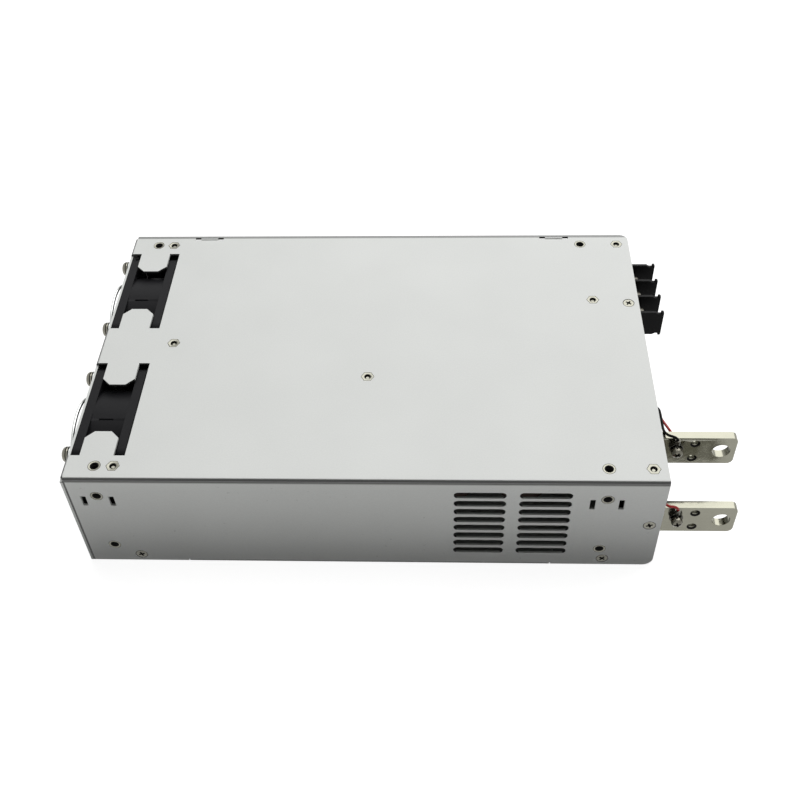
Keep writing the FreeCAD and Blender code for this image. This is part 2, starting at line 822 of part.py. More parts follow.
def make_cover():
    """Cover plate with the back wall, two wall tabs, a front tongue and two screw tabs."""
    body = new_body("cover")
    start = X_FAN + d.sheet + d.seam
    inner = Y_FRONT + d.sheet + d.panel_gap
    plate_edge = inner + d.bend_radius
    wall_top = Z_BASE - d.panel_gap
    pad(body, "YZ", start, X_OUT, outline(
        (plate_edge, 0), (WALL_BACK, 0, d.bend_radius), (WALL_BACK, wall_top),
        (WALL_BACK - d.sheet, wall_top), (WALL_BACK - d.sheet, d.sheet, BEND_INNER),
        (plate_edge, d.sheet)))
    tongue = d.tongue_half_length - d.tongue_end_gap
    pad(body, "XY", 0, d.sheet,
        rectangle(-tongue, Y_FRONT, tongue, plate_edge + d.overcut))
    for side in (-1, 1):
        centre = side * d.slot_centre + d.slot_shift
        pad(body, "XZ", WALL_BACK - d.sheet, WALL_BACK,
            rectangle(centre - d.tab_length / 2, wall_top - d.overcut,
                      centre + d.tab_length / 2, Z_TOP))
        near = side * d.cover_tab_start
        far = side * (d.cover_tab_start + d.cover_tab_length)
        low, high = (near, far) if side > 0 else (far, near)
        pad(body, "YZ", low, high, outline(
            (inner, 0, d.bend_radius), (plate_edge + d.overcut, 0),
            (plate_edge + d.overcut, d.sheet), (inner + d.sheet, d.sheet, BEND_INNER),
            (inner + d.sheet, d.cover_tab_height), (inner, d.cover_tab_height)))
    cut(body, "XZ", inner, inner + d.sheet,
        circle(-d.cover_screw_fan, d.cover_screw_height, d.flat_shank_radius + d.flat_head_gap),
        circle(d.cover_screw_out, d.cover_screw_height, d.flat_shank_radius + d.flat_head_gap))
    side_wall_cuts(body, WALL_BACK - d.sheet, WALL_BACK)
    towards_front = FreeCAD.Rotation(ALONG_X, 90)
    countersink(body, d.panel_screw_x, WALL_BACK, d.panel_screw_z, towards_front)
    return body


# Terminal end panel

PANEL_OUT = X_OUT - d.panel_setback
PANEL_IN = PANEL_OUT - d.sheet
PANEL_LEFT = Y_FRONT + d.sheet + d.panel_gap
PANEL_RIGHT = WALL_BACK - d.sheet - d.panel_gap
PANEL_TOP = Z_BASE - d.panel_gap
BLOCK_LEFT = d.block_first_y - d.block_fin / 2
BLOCK_RIGHT = d.block_first_y + d.block_poles * d.block_pitch + d.block_fin / 2
SIGNAL_FACE = PANEL_IN - d.signal_setback
PLUG_FACE = SIGNAL_FACE + d.plug_start + d.plug_length


def make_terminal_panel():
    """End panel with three folded flanges and windows for what passes through it."""
    body = new_body("terminal_panel")
    low = d.sheet + d.panel_gap
    fold = d.bend_radius
    top_half = d.panel_top_half
    side_low = Z_MID - d.panel_flange_half
    side_high = Z_MID + d.panel_flange_half
    pad(body, "YZ", PANEL_IN, PANEL_OUT, outline(
        (PANEL_LEFT, low), (PANEL_RIGHT, low), (PANEL_RIGHT, side_low),
        (PANEL_RIGHT - fold, side_low), (PANEL_RIGHT - fold, side_high),
        (PANEL_RIGHT, side_high), (PANEL_RIGHT, PANEL_TOP), (top_half, PANEL_TOP),
        (top_half, PANEL_TOP - fold), (-top_half, PANEL_TOP - fold), (-top_half, PANEL_TOP),
        (PANEL_LEFT, PANEL_TOP), (PANEL_LEFT, side_high), (PANEL_LEFT + fold, side_high),
        (PANEL_LEFT + fold, side_low), (PANEL_LEFT, side_low)))
    inward = PANEL_OUT - d.panel_flange
    root = PANEL_TOP - fold - d.overcut
    pad(body, "XZ", -top_half, top_half, outline(
        (PANEL_OUT, root), (PANEL_OUT, PANEL_TOP, d.bend_radius), (inward, PANEL_TOP),
        (inward, PANEL_TOP - d.sheet), (PANEL_IN, PANEL_TOP - d.sheet, BEND_INNER),
        (PANEL_IN, root)))
    for edge, turn in ((PANEL_LEFT, 1), (PANEL_RIGHT, -1)):
        root = edge + turn * (fold + d.overcut)
        inside = edge + turn * d.sheet
        pad(body, "XY", side_low, side_high, outline(
            (PANEL_OUT, root), (PANEL_OUT, edge, d.bend_radius), (inward, edge),
            (inward, inside), (PANEL_IN, inside, BEND_INNER), (PANEL_IN, root)))
    screw_hole = d.flat_shank_radius + d.flat_head_gap
    cut(body, "XY", PANEL_TOP - d.sheet, PANEL_TOP,
        circle(d.panel_screw_x, d.panel_screw_y, screw_hole))
    cut(body, "XZ", PANEL_LEFT, PANEL_LEFT + d.sheet,
        circle(d.panel_screw_x, d.panel_screw_z, screw_hole))
    cut(body, "XZ", PANEL_RIGHT - d.sheet, PANEL_RIGHT,
        circle(d.panel_screw_x, d.panel_screw_z, screw_hole))
    windows = [rectangle(BLOCK_LEFT - d.block_gap, d.block_low - d.block_gap,
                         BLOCK_RIGHT + d.block_gap, d.block_high + d.block_gap)]
    for face, bottom in BARS:
        windows.append(rectangle(-face - d.bush_wall, bottom - d.bush_wall,
                                 -face + d.bar_thickness + d.bush_wall,
                                 bottom + d.bar_height + d.bush_wall))
    windows.append(rectangle(d.signal_connector_y - d.header_width / 2 - d.block_gap,
                             d.signal_row_z - d.header_height / 2 - d.block_gap,
                             d.signal_connector_y + d.header_width / 2 + d.block_gap,
                             d.signal_row_z + d.header_height / 2 + d.block_gap))
    windows.append(circle(d.led_y, d.signal_row_z, d.led_rim))
    windows.append(circle(d.trimmer_y, d.signal_row_z, d.trimmer_access))
    cut(body, "YZ", PANEL_IN, PANEL_OUT, *windows)
    vent = cut(body, "YZ", PANEL_IN, PANEL_OUT, rectangle(
        d.panel_vent_start, d.panel_vent_low, d.panel_vent_start + d.panel_vent_width,
        d.panel_vent_high))
    repeat_along(body, [vent], "Y", d.panel_vent_pitch, d.panel_vent_count)
    return body


BARS = ((d.bar_front_y, d.bar_front_low), (d.bar_rear_y, d.bar_rear_low))


# Solids from primitives

TURN_X = FreeCAD.Rotation(ALONG_Y, 90)
TURN_BACK = FreeCAD.Rotation(ALONG_X, -90)
TURN_FRONT = FreeCAD.Rotation(ALONG_X, 90)
TURN_DOWN = FreeCAD.Rotation(ALONG_X, 180)
TURN_MINUS_X = FreeCAD.Rotation(ALONG_Y, -90)


def cylinder(radius, height, x=0, y=0, z=0, rotation=None):
    """Cylinder that rises from a place along its turned z axis."""
    item = doc.addObject("Part::Cylinder", "Round")
    bind(item, "Radius", radius)
    bind(item, "Height", height)
    return place(item, x, y, z, rotation)


def cone(low_radius, high_radius, height, x=0, y=0, z=0, rotation=None):
    """Truncated cone that rises from a place along its turned z axis."""
    item = doc.addObject("Part::Cone", "Taper")
    bind(item, "Radius1", low_radius)
    bind(item, "Radius2", high_radius)
    bind(item, "Height", height)
    return place(item, x, y, z, rotation)


def box(length, width, height, x, y, z):
    """Box from its lowest corner."""
    item = doc.addObject("Part::Box", "Block")
    bind(item, "Length", length)
    bind(item, "Width", width)
    bind(item, "Height", height)
    return place(item, x, y, z)


def middle_box(length, width, height, x, y, z):
    """Box about a centre in x and y, from its lowest z."""
    return box(length, width, height, x - as_size(length) / 2, y - as_size(width) / 2, z)


def fuse(*items):
    """One solid from several that meet."""
    joined = doc.addObject("Part::MultiFuse", "Joined")
    joined.Shapes = list(items)
    return joined


def without(base, *tools):
    """A solid less one or more others."""
    result = doc.addObject("Part::Cut", "Less")
    result.Base = base
    result.Tool = tools[0] if len(tools) == 1 else fuse(*tools)
    return result


def group(label, items):
    """Separate solids of one kind, kept as one sub-part."""
    joined = doc.addObject("Part::Compound", label)
    joined.Links = list(items)
    return keep(joined, label)


def cross_recess(span, width, depth, top):
    """The two bars of a cross recess that opens at the given height."""
    return [middle_box(span, width, depth, 0, 0, top - depth),
            middle_box(width, span, depth, 0, 0, top - depth)]


def flat_screw(x, y, z, rotation):
    """Countersunk cross-head screw, its face at the place given, pointing along the turned z."""
    head = cone(d.flat_head_radius, d.flat_shank_radius, d.flat_head_depth)
    shank = cylinder(d.flat_shank_radius, d.flat_shank_length, 0, 0, d.flat_head_depth)
    recess = cross_recess(d.recess_span, d.recess_width, d.recess_depth, d.recess_depth)
    return place(without(fuse(head, shank), *recess), x, y, z, rotation)


def pan_screw(radius, height, shank_radius, shank_length, x, y, z, rotation):
    """Pan-head cross screw, seated at the place given, its head along the turned z."""
    rim = height * d.pan_rim_share
    head = cylinder(radius, rim)
    crown = cone(radius, radius * d.pan_crown_share, height - rim, 0, 0, rim)
    shank = cylinder(shank_radius, shank_length, 0, 0, -as_size(shank_length))
    recess = cross_recess(d.cross_span, d.cross_width, d.cross_depth, height)
    return place(without(fuse(shank, head, crown), *recess), x, y, z, rotation)


def clinch_nut(x, y, z, rotation):
    """Round press-in nut, its ring flush with the outside of the sheet."""
    ring = cylinder(d.mount_ring / 2, d.sheet + d.overcut, 0, 0, -(d.sheet + d.overcut))
    flange = cylinder(d.mount_flange / 2, d.mount_flange_depth, 0, 0,
                      -(d.sheet + d.mount_flange_depth))
    bore = cylinder(d.mount_bore / 2, d.sheet + d.mount_flange_depth + 2 * d.overcut, 0, 0,
                    -(d.sheet + d.mount_flange_depth + d.overcut))
    return place(without(fuse(ring, flange), bore), x, y, z, rotation)


def make_mounting_nuts():
    """Threaded nuts of the base pattern and of the two side patterns."""
    spots = [(x, side * d.base_mount_y) for x in (-d.mount_fan, d.mount_out) for side in (-1, 1)]
    group("base_mounting_nuts", [clinch_nut(x, y, Z_TOP, None) for x, y in spots])
    spots = [(x, z) for x in (-d.mount_fan, d.mount_out)
             for z in (d.side_mount_low, d.side_mount_high)]
    group("front_side_nuts", [clinch_nut(x, Y_FRONT, z, TURN_FRONT) for x, z in spots])
    group("back_side_nuts", [clinch_nut(x, WALL_BACK, z, TURN_BACK) for x, z in spots])


def make_case_screws():
    """Countersunk screws of the cover and of the terminal panel."""
    group("cover_screws", [
        flat_screw(-d.cover_screw_fan, Y_FRONT, d.cover_screw_height, TURN_BACK),
        flat_screw(d.cover_screw_out, Y_FRONT, d.cover_screw_height, TURN_BACK)])
    group("panel_screws", [
        flat_screw(d.panel_screw_x, d.panel_screw_y, Z_TOP, TURN_DOWN),
        flat_screw(d.panel_screw_x, Y_FRONT, d.panel_screw_z, TURN_BACK),
        flat_screw(d.panel_screw_x, WALL_BACK, d.panel_screw_z, TURN_FRONT)])


# Fans in their own frame: outer face at x = 0, air blown towards +x, axis along x

FAN_X = X_FAN + d.sheet
SIDES = (("near", -1), ("far", 1))
HUB_START = d.fan_end_gap + d.fan_flange / 2
HUB_END = HUB_START + d.fan_hub_depth
MOTOR_PLATE = d.fan_depth - d.fan_motor_depth
TUNNEL_START = HUB_START + d.fan_hub_wall + d.fan_end_gap


def make_fan_frame(name, side):
    """Square fan housing with a round tunnel and a bar mark on its barrel."""
    body = new_body("fan_frame_" + name)
    half = d.fan_size / 2
    pad(body, "YZ", 0, d.fan_depth, rectangle(-half, -half, half, half, d.fan_corner),
        circle(0, 0, d.fan_bore))
    wide = half + d.overcut
    cut(body, "YZ", d.fan_flange, d.fan_depth - d.fan_flange,
        rectangle(-wide, -wide, wide, wide), circle(0, 0, d.fan_barrel))
    holes = []
    for step_y in (-1, 1):
        for step_z in (-1, 1):
            holes.append(circle(step_y * d.fan_screw_pitch / 2, step_z * d.fan_screw_pitch / 2,
                                d.fan_screw_hole))
    cut(body, "YZ", 0, d.fan_depth, *holes)
    mark = d.fan_depth / 2
    cut(body, "XY", d.fan_barrel - d.fan_mark_depth, d.fan_barrel + d.overcut,
        rectangle(mark - d.fan_mark_length / 2 - d.fan_mark_shift,
                  -d.fan_mark_y - d.fan_mark_width / 2,
                  mark + d.fan_mark_length / 2 - d.fan_mark_shift,
                  -d.fan_mark_y + d.fan_mark_width / 2))
    return place(body, FAN_X, side * d.fan_y, Z_MID)


def make_fan_spider(name, side):
    """Struts, motor plate and bearing tube that stand in the tunnel of a fan."""
    body = new_body("fan_spider_" + name)
    reach = d.fan_bore - d.fan_strut_gap
    pad(body, "YZ", MOTOR_PLATE, d.fan_depth, circle(0, 0, d.fan_motor_radius))
    pad(body, "YZ", d.fan_depth - d.fan_strut_depth, d.fan_depth,
        rectangle(-reach, -d.fan_strut_width / 2, reach, d.fan_strut_width / 2))
    pad(body, "YZ", d.fan_depth - d.fan_strut_depth, d.fan_depth,
        rectangle(-d.fan_strut_width / 2, -reach, d.fan_strut_width / 2, reach))
    pad(body, "YZ", TUNNEL_START, MOTOR_PLATE, circle(0, 0, d.fan_tunnel_radius))
    cut(body, "YZ", TUNNEL_START - d.overcut, MOTOR_PLATE + d.fan_motor_depth / 2,
        circle(0, 0, d.fan_pin_radius + d.fan_pin_gap))
    return place(body, FAN_X, side * d.fan_y, Z_MID)


def blade_section(sweep, camber):
    """Bent section of a fan blade, seen along its span."""
    half = d.fan_blade_depth / 2
    middle = (HUB_START + HUB_END) / 2
    thick = d.fan_blade_thickness
    return outline((middle - half, -sweep / 2), (middle, camber), (middle + half, sweep / 2),
                   (middle + half, sweep / 2 + thick), (middle, camber + thick),
                   (middle - half, -sweep / 2 + thick))


def make_fan_rotor(name, side):
    """Hub cup with its pin and a ring of twisted blades."""
    body = new_body("fan_rotor_" + name)
    pad(body, "YZ", HUB_START, HUB_END, circle(0, 0, d.fan_hub))
    blade = body.newObject("PartDesign::AdditiveLoft", "Blade")
    blade.Profile = sketch_on(body, "XY", d.fan_hub - d.fan_blade_bite,
                              [blade_section(d.fan_blade_sweep_root, d.fan_blade_camber)])
    blade.Sections = [sketch_on(body, "XY", d.fan_tip,
                                [blade_section(d.fan_blade_sweep_tip, d.fan_blade_camber * 2)])]
    body.Tip = blade
    repeat_about(body, [blade], "X", d.fan_blades)
    cut(body, "YZ", HUB_START + d.fan_hub_wall, HUB_END + d.overcut,
        circle(0, 0, d.fan_hub - d.fan_hub_wall))
    pad(body, "YZ", HUB_START, MOTOR_PLATE, circle(0, 0, d.fan_pin_radius))
    return place(body, FAN_X, side * d.fan_y, Z_MID)


def make_fan_stator(name, side):
    """Wound stator on the bearing tube inside the hub."""
    ring = without(
        cylinder(d.fan_stator_radius, d.fan_stator_depth, 0, 0, 0, TURN_X),
        cylinder(d.fan_tunnel_radius, d.fan_stator_depth, 0, 0, 0, TURN_X))
    place(ring, FAN_X + MOTOR_PLATE - d.fan_stator_depth, side * d.fan_y, Z_MID)
    return keep(ring, "fan_stator_" + name)


def make_finger_guard(name, side):
    """Welded wire guard: three rings on four arms that end in eyes under the screws."""
    wire = d.guard_wire.value
    eye = d.guard_eye.value
    corner = math.hypot(d.fan_screw_pitch.value, d.fan_screw_pitch.value) / 2
    arm_x = -(wire + d.guard_lift.value)
    ring_x = arm_x - d.guard_lift.value
    centre = FreeCAD.Vector(0, 0, 0)
    out = FreeCAD.Vector(1, 0, 0)
    pieces = []
    for radius in (d.guard_outer, d.guard_middle, d.guard_inner):
        pieces.append(Part.makeTorus(radius.value, wire, FreeCAD.Vector(ring_x, 0, 0), out))
    knee = d.guard_outer.value + wire
    arms = int(d.guard_arms.value)
    for index in range(arms):
        angle = (2 * index + 1) * math.pi / arms
        ray = FreeCAD.Vector(0, math.cos(angle), math.sin(angle))
        start = ray * d.guard_inner.value + FreeCAD.Vector(arm_x, 0, 0)
        bend = ray * knee + FreeCAD.Vector(arm_x, 0, 0)
        end = ray * (corner - eye) + FreeCAD.Vector(-wire, 0, 0)
        slope = end - bend
        pieces.append(Part.makeCylinder(wire, (bend - start).Length, start, ray))
        pieces.append(Part.makeSphere(wire, bend))
        pieces.append(Part.makeCylinder(wire, slope.Length, bend, slope))
        pieces.append(Part.makeTorus(eye, wire, ray * corner + FreeCAD.Vector(-wire, 0, 0), out))
    guard = doc.addObject("Part::Feature", "finger_guard_" + name)
    guard.Shape = pieces[0].fuse(pieces[1:])
    place(guard, X_FAN, side * d.fan_y, Z_MID)
    return keep(guard, "finger_guard_" + name)


def make_fan_screws():
    """Pan-head screws that hold the guards and fans to the end panel."""
    screws = []
    for name, side in SIDES:
        for step_y in (-1, 1):
            for step_z in (-1, 1):
                screws.append(pan_screw(
                    d.pan_head_radius, d.pan_head_height, d.pan_shank_radius,
                    d.pan_shank_length, X_FAN - 2 * d.guard_wire,
                    side * d.fan_y + step_y * d.fan_screw_pitch / 2,
                    Z_MID + step_z * d.fan_screw_pitch / 2, TURN_MINUS_X))
    group("fan_screws", screws)


# Main board and what holds it


def make_standoffs():
    """Press-in standoffs whose hexagons sit flush in the base plate."""
    items = []
    for x, y in STANDOFFS:
        plate = doc.addObject("Part::Prism", "Hexagon")
        plate.Polygon = HEXAGON_SIDES
        bind(plate, "Circumradius", d.standoff_hex)
        bind(plate, "Height", d.sheet)
        place(plate, 0, 0, Z_BASE)
        barrel = cylinder(d.standoff_radius, Z_BASE - BOARD_TOP + d.sheet / 2, 0, 0, BOARD_TOP)
        bore = cylinder(d.standoff_bore, Z_TOP - BOARD_TOP + 2 * d.overcut, 0, 0,
                        BOARD_TOP - d.overcut)
        items.append(place(without(fuse(plate, barrel), bore), x, y, 0))
    group("board_standoffs", items)


def make_board_screws():
    """Screws that hold the board to its standoffs."""
    items = []
    for x, y in STANDOFFS:
        items.append(pan_screw(d.board_head_radius, d.board_head_height, d.board_screw_radius,
                               d.board_screw_length, x, y, BOARD_LOW, TURN_DOWN))
    group("board_screws", items)


def make_main_board():
    """Main circuit board with ears that reach past the fans to the corner standoffs."""
    body = new_body("main_board")
    left = -d.board_fan_edge
    ear = left - d.board_ear
    right = d.board_out_edge
    half = d.board_half_width
    inner = half - d.board_ear_width
    holes = [circle(x, y, d.board_screw_radius + d.board_screw_gap) for x, y in STANDOFFS]
    pad(body, "XY", BOARD_LOW, BOARD_TOP, outline(
        (ear, -half), (right, -half), (right, half), (ear, half), (ear, inner), (left, inner),
        (left, -inner), (ear, -inner)), *holes)
    return body


def make_insulation_film():
    """Film on the inside of the base plate, clear of the standoffs inside its edges."""
    body = new_body("insulation_film")
    holes = [circle(x, y, d.film_clearance) for x, y in STANDOFFS[4:]]
    pad(body, "XY", Z_BASE - d.film_thickness, Z_BASE,
        rectangle(-d.film_start, -d.film_half_width, d.film_end, d.film_half_width), *holes)
    return body


# Input terminals

def make_terminal_block():
    """Moulded block with barrier fins between its poles."""
    body = new_body("terminal_block")
    floor = PANEL_OUT + d.block_floor
    tip = X_OUT + d.block_reach
    low, high = d.block_low, d.block_high
    pad(body, "XZ", BLOCK_LEFT, BLOCK_RIGHT,
        rectangle(PANEL_IN - d.block_depth, low, floor, high))
    pad(body, "XZ", BLOCK_LEFT, BLOCK_RIGHT - d.block_foot_inset,
        rectangle(PANEL_IN - d.block_depth, high - d.overcut, PANEL_IN - d.block_gap, BOARD_LOW))
    fin = pad(body, "XZ", BLOCK_LEFT, BLOCK_LEFT + d.block_fin, outline(
        (floor - d.overcut, low + d.fin_edge_drop), (tip - d.fin_notch_start, low + d.fin_edge_drop),
        (tip - d.fin_notch_end, low + d.fin_notch_depth),
        (tip - 2 * d.fin_nub, low + d.fin_notch_depth), (tip - 2 * d.fin_nub, low, d.fin_nub / 2),
        (tip, low, d.fin_nub), (tip, high, d.fin_nub), (tip - 2 * d.fin_nub, high, d.fin_nub / 2),
        (tip - 2 * d.fin_nub, high - d.fin_notch_depth),
        (tip - d.fin_notch_end, high - d.fin_notch_depth),
        (tip - d.fin_notch_start, high - d.fin_edge_drop),
        (floor - d.overcut, high - d.fin_edge_drop)))
    repeat_along(body, [fin], "Y", d.block_pitch, d.block_poles + 1)
    holes = [circle(y, z, d.pole_screw_shank + d.pole_hole_gap) for y, z in pole_centres()]
    cut(body, "YZ", floor - d.pole_screw_length, floor, *holes)
    return body


def pole_centres():
    """Places of the terminal screws between the fins."""
    middle = (d.block_low + d.block_high) / 2
    first = d.block_first_y + d.block_pitch / 2
    return [(first + index * d.block_pitch, middle)
            for index in range(int(d.block_poles.value))]


def make_terminal_clamps():
    """Square clamp plates under the terminal screws."""
    floor = PANEL_OUT + d.block_floor
    items = []
    for y, z in pole_centres():
        plate = box(d.clamp_thickness, d.clamp_size, d.clamp_size, floor,
                    y - d.clamp_size / 2, z - d.clamp_size / 2)
        hole = cylinder(d.pole_screw_shank + d.pole_hole_gap, d.clamp_thickness + 2 * d.overcut,
                        floor - d.overcut, y, z, TURN_X)
        items.append(without(plate, hole))
    group("terminal_clamps", items)


def make_terminal_screws():
    """Terminal screws seated on the clamp plates."""
    seat = PANEL_OUT + d.block_floor + d.clamp_thickness
    items = []
    for y, z in pole_centres():
        items.append(pan_screw(d.pole_screw_radius, d.pole_screw_head, d.pole_screw_shank,
                               d.pole_screw_length, seat, y, z, TURN_X))
    group("terminal_screws", items)


# Output bars and sense leads

BAR_TIP = X_OUT + d.bar_reach


def make_output_bar(label, face, bottom, extra_hole):
    """Flat output bar with a foot up to the board and its row of holes."""
    body = new_body(label)
    front = -face
    top = bottom + d.bar_height
    foot = d.bar_start + d.bar_foot
    pad(body, "XZ", front, front + d.bar_thickness, outline(
        (d.bar_start, bottom), (BAR_TIP, bottom, d.bar_corner), (BAR_TIP, top, d.bar_corner),
        (foot, top), (foot, BOARD_LOW), (d.bar_start, BOARD_LOW)))
    tap_x = BAR_TIP - d.bar_tap_inset
    tap_z = top - d.bar_tap_drop
    holes = [circle(BAR_TIP - d.bar_hole_inset, top - d.bar_hole_drop, d.bar_hole),
             circle(tap_x, tap_z, d.bar_tap_hole),
             circle(tap_x, tap_z - d.bar_tap_pitch, d.bar_tap_hole),
             circle(BAR_TIP - d.bar_sense_inset, top - d.bar_sense_drop, d.bar_tap_hole)]
    if extra_hole:
        holes.append(circle(BAR_TIP - d.bar_pin_inset, top - d.bar_pin_drop, d.bar_pin_hole))
    cut(body, "XZ", front, front + d.bar_thickness, *holes)
    return body


def make_bar_bushes():
    """Insulating bushes in the panel windows around the bars."""
    items = []
    for face, bottom in BARS:
        wall = d.bush_wall
        rim = wall + d.bush_flange
        sleeve = box(d.bush_depth, d.bar_thickness + 2 * wall, d.bar_height + 2 * wall,
                     PANEL_OUT - d.bush_depth, -face - wall, bottom - wall)
        flange = box(d.bush_flange_depth, d.bar_thickness + 2 * rim, d.bar_height + 2 * rim,
                     PANEL_OUT, -face - rim, bottom - rim)
        gap = d.bush_gap
        passage = box(d.bush_depth + d.bush_flange_depth + 2 * d.overcut,
                      d.bar_thickness + 2 * gap, d.bar_height + 2 * gap,
                      PANEL_OUT - d.bush_depth - d.overcut, -face - gap, bottom - gap)
        items.append(without(fuse(sleeve, flange), passage))
    group("bar_bushes", items)


def sense_point(face, bottom):
    """Place of a sense screw on the front face of a bar."""
    return BAR_TIP - d.bar_sense_inset, -face, bottom + d.bar_height - d.bar_sense_drop


def make_sense_hardware():
    """Ring lugs, washers and screws that join the sense leads to the bars."""
    lugs = []
    washers = []
    screws = []
    for face, bottom in BARS:
        x, y, z = sense_point(face, bottom)
        bore = d.lug_shank_radius + d.pole_hole_gap
        eye = cylinder(d.lug_radius, d.lug_thickness, x, y, z, TURN_FRONT)
        neck = box(2 * d.lug_barrel, d.lug_thickness, d.lug_neck_length,
                   x - d.lug_barrel, y - d.lug_thickness, z + d.lug_neck_start)
        barrel = cylinder(d.lug_barrel, d.lug_barrel_length, x, y - d.lug_barrel,
                          z + d.lug_barrel_start)
        hole = cylinder(bore, d.lug_thickness + 2 * d.overcut, x, y + d.overcut, z, TURN_FRONT)
        lugs.append(without(fuse(eye, neck, barrel), hole))
        seat = y - d.lug_thickness
        flat = without(cylinder(d.washer_radius, d.washer_thickness, x, seat, z, TURN_FRONT),
                       cylinder(bore, d.washer_thickness, x, seat, z, TURN_FRONT))
        seat = seat - d.washer_thickness
        spring = without(
            cylinder(d.spring_washer_radius, d.spring_washer_thickness, x, seat, z, TURN_FRONT),
            cylinder(bore, d.spring_washer_thickness, x, seat, z, TURN_FRONT))
        washers.extend([flat, spring])
        seat = seat - d.spring_washer_thickness
        stack = d.lug_thickness + d.washer_thickness + d.spring_washer_thickness
        screws.append(pan_screw(d.lug_screw_radius, d.lug_screw_head, d.lug_shank_radius,
                                stack + d.bar_thickness + d.lug_shank_extra, x, seat, z,
                                TURN_FRONT))
    group("sense_lugs", lugs)
    group("sense_washers", washers)
    group("sense_screws", screws)


# Share of the shorter run that an arc of a lead takes at each of its ends
BEND_SHARE = 0.45

# Routes of the sense leads, chosen points from the plug to the lug
BLACK_ROUTE = ((142.2, -25.6, 45.4), (144.0, -28.4, 47.6), (143.7, -34.0, 49.6),
               (143.5, -40.0, 50.0), (143.4, -45.0, 51.6), (143.6, -50.2, 54.4),
               (145.6, -53.0, 55.2), (149.3, -53.9, 54.7), (148.9, -53.8, 50.6))
RED_ROUTE = ((142.2, -28.4, 45.5), (144.2, -32.0, 46.4), (144.8, -37.0, 47.6),
             (146.2, -41.5, 47.8), (147.6, -45.0, 46.4), (147.6, -45.6, 40.0),
             (146.0, -46.6, 31.0), (143.8, -56.0, 29.6), (142.9, -65.0, 31.0),
             (142.8, -73.5, 33.8), (144.4, -77.6, 33.4), (149.0, -78.4, 32.4),
             (148.9, -78.1, 29.0))


def lead_path(points):
    """Straight runs joined by tangent arcs as large as the two runs allow."""
    points = [FreeCAD.Vector(*point) for point in points]
    edges = []
    start = points[0]
    for before, corner, after in zip(points, points[1:], points[2:]):
        run_in = corner - before
        run_out = after - corner
        shorter = min(run_in.Length, run_out.Length)
        run_in.normalize()
        run_out.normalize()
        reach = BEND_SHARE * shorter
        entry = corner - run_in * reach
        leave = corner + run_out * reach
        bisector = (run_out - run_in).normalize()
        half_turn = run_in.getAngle(run_out) / 2
        radius = reach / math.tan(half_turn)
        centre = corner + bisector * (radius / math.cos(half_turn))
        middle = centre - bisector * radius
        edges.append(Part.LineSegment(start, entry).toShape())
        edges.append(Part.Arc(entry, middle, leave).toShape())
        start = leave
        print("lead bend radius", round(radius, 2))
    edges.append(Part.LineSegment(start, points[-1]).toShape())
    return Part.Wire(edges)


def block_around(x, y, z, below, above, reach):
    """Block about a point in x and y, between two levels, as a plain shape."""
    return Part.makeBox(2 * reach, 2 * reach, above - below,
                        FreeCAD.Vector(x - reach, y - reach, below))


def make_sense_lead(label, points, bar):
    """Insulated sense lead that meets the plug's face and the top of the lug on its bar."""
    path = lead_path(points)
    start = FreeCAD.Vector(*points[0])
    ahead = FreeCAD.Vector(*points[1]) - start
    profile = Part.Wire([Part.Circle(start, ahead, d.lead_radius.value).toShape()])
    tube = path.makePipeShell([profile], True, False)
    area = math.pi * d.lead_radius.value ** 2
    print(label, "volume over section times length", round(tube.Volume / (area * path.Length), 4))
    reach = 2 * d.lug_barrel.value
    x, y, z = points[0]
    in_plug = block_around(PLUG_FACE.value - reach, y, z, z - reach, z + reach, reach)
    x, y, z = points[-1]
    lug_top = (sense_point(*bar)[2] + d.lug_barrel_start + d.lug_barrel_length).value
    in_lug = block_around(x, y, z, z - reach, lug_top, reach)
    lead = doc.addObject("Part::Feature", label)
    lead.Shape = tube.cut(in_plug).cut(in_lug)
    return keep(lead, label)


def make_signal_board():
    """Upright board behind the panel for the connector, lamp and trimmer."""
    body = new_body("signal_board")
    pad(body, "YZ", SIGNAL_FACE - d.board_thickness, SIGNAL_FACE,
        rectangle(d.signal_start, d.signal_low, d.signal_end, BOARD_LOW))
    return body


def make_signal_header():
    """Open socket of the sense connector on the signal board."""
    body = new_body("signal_header")
    y_low = d.signal_connector_y - d.header_width / 2
    z_low = d.signal_row_z - d.header_height / 2
    wall = d.header_wall
    pad(body, "YZ", SIGNAL_FACE, SIGNAL_FACE + d.header_depth,
        rectangle(y_low, z_low, y_low + d.header_width, z_low + d.header_height))
    cut(body, "YZ", SIGNAL_FACE + d.plug_start, SIGNAL_FACE + d.header_depth + d.overcut,
        rectangle(y_low + wall, z_low + wall, y_low + d.header_width - wall,
                  z_low + d.header_height - wall))
    return body


def make_signal_plug():
    """Plug of the sense leads, seated in the header."""
    y_low = d.signal_connector_y - d.header_width / 2 + d.header_wall + d.plug_gap
    z_low = d.signal_row_z - d.header_height / 2 + d.header_wall + d.plug_gap
    width = d.header_width - 2 * (d.header_wall + d.plug_gap)
    height = d.header_height - 2 * (d.header_wall + d.plug_gap)
    core = box(d.plug_length, width, height, PLUG_FACE - d.plug_length, y_low, z_low)
    return keep(core, "signal_plug")


def make_status_lamp():
    """Small lamp on the signal board that shows through the panel."""
    base = SIGNAL_FACE
    rim = cylinder(d.led_rim - d.plug_gap, d.led_rim_depth, base, d.led_y, d.signal_row_z, TURN_X)
    stem = cylinder(d.led_radius, d.led_length, base, d.led_y, d.signal_row_z, TURN_X)
    dome = doc.addObject("Part::Sphere", "Dome")
    bind(dome, "Radius", d.led_radius)
    place(dome, base + d.led_length, d.led_y, d.signal_row_z)
    return keep(fuse(rim, stem, dome), "status_lamp")


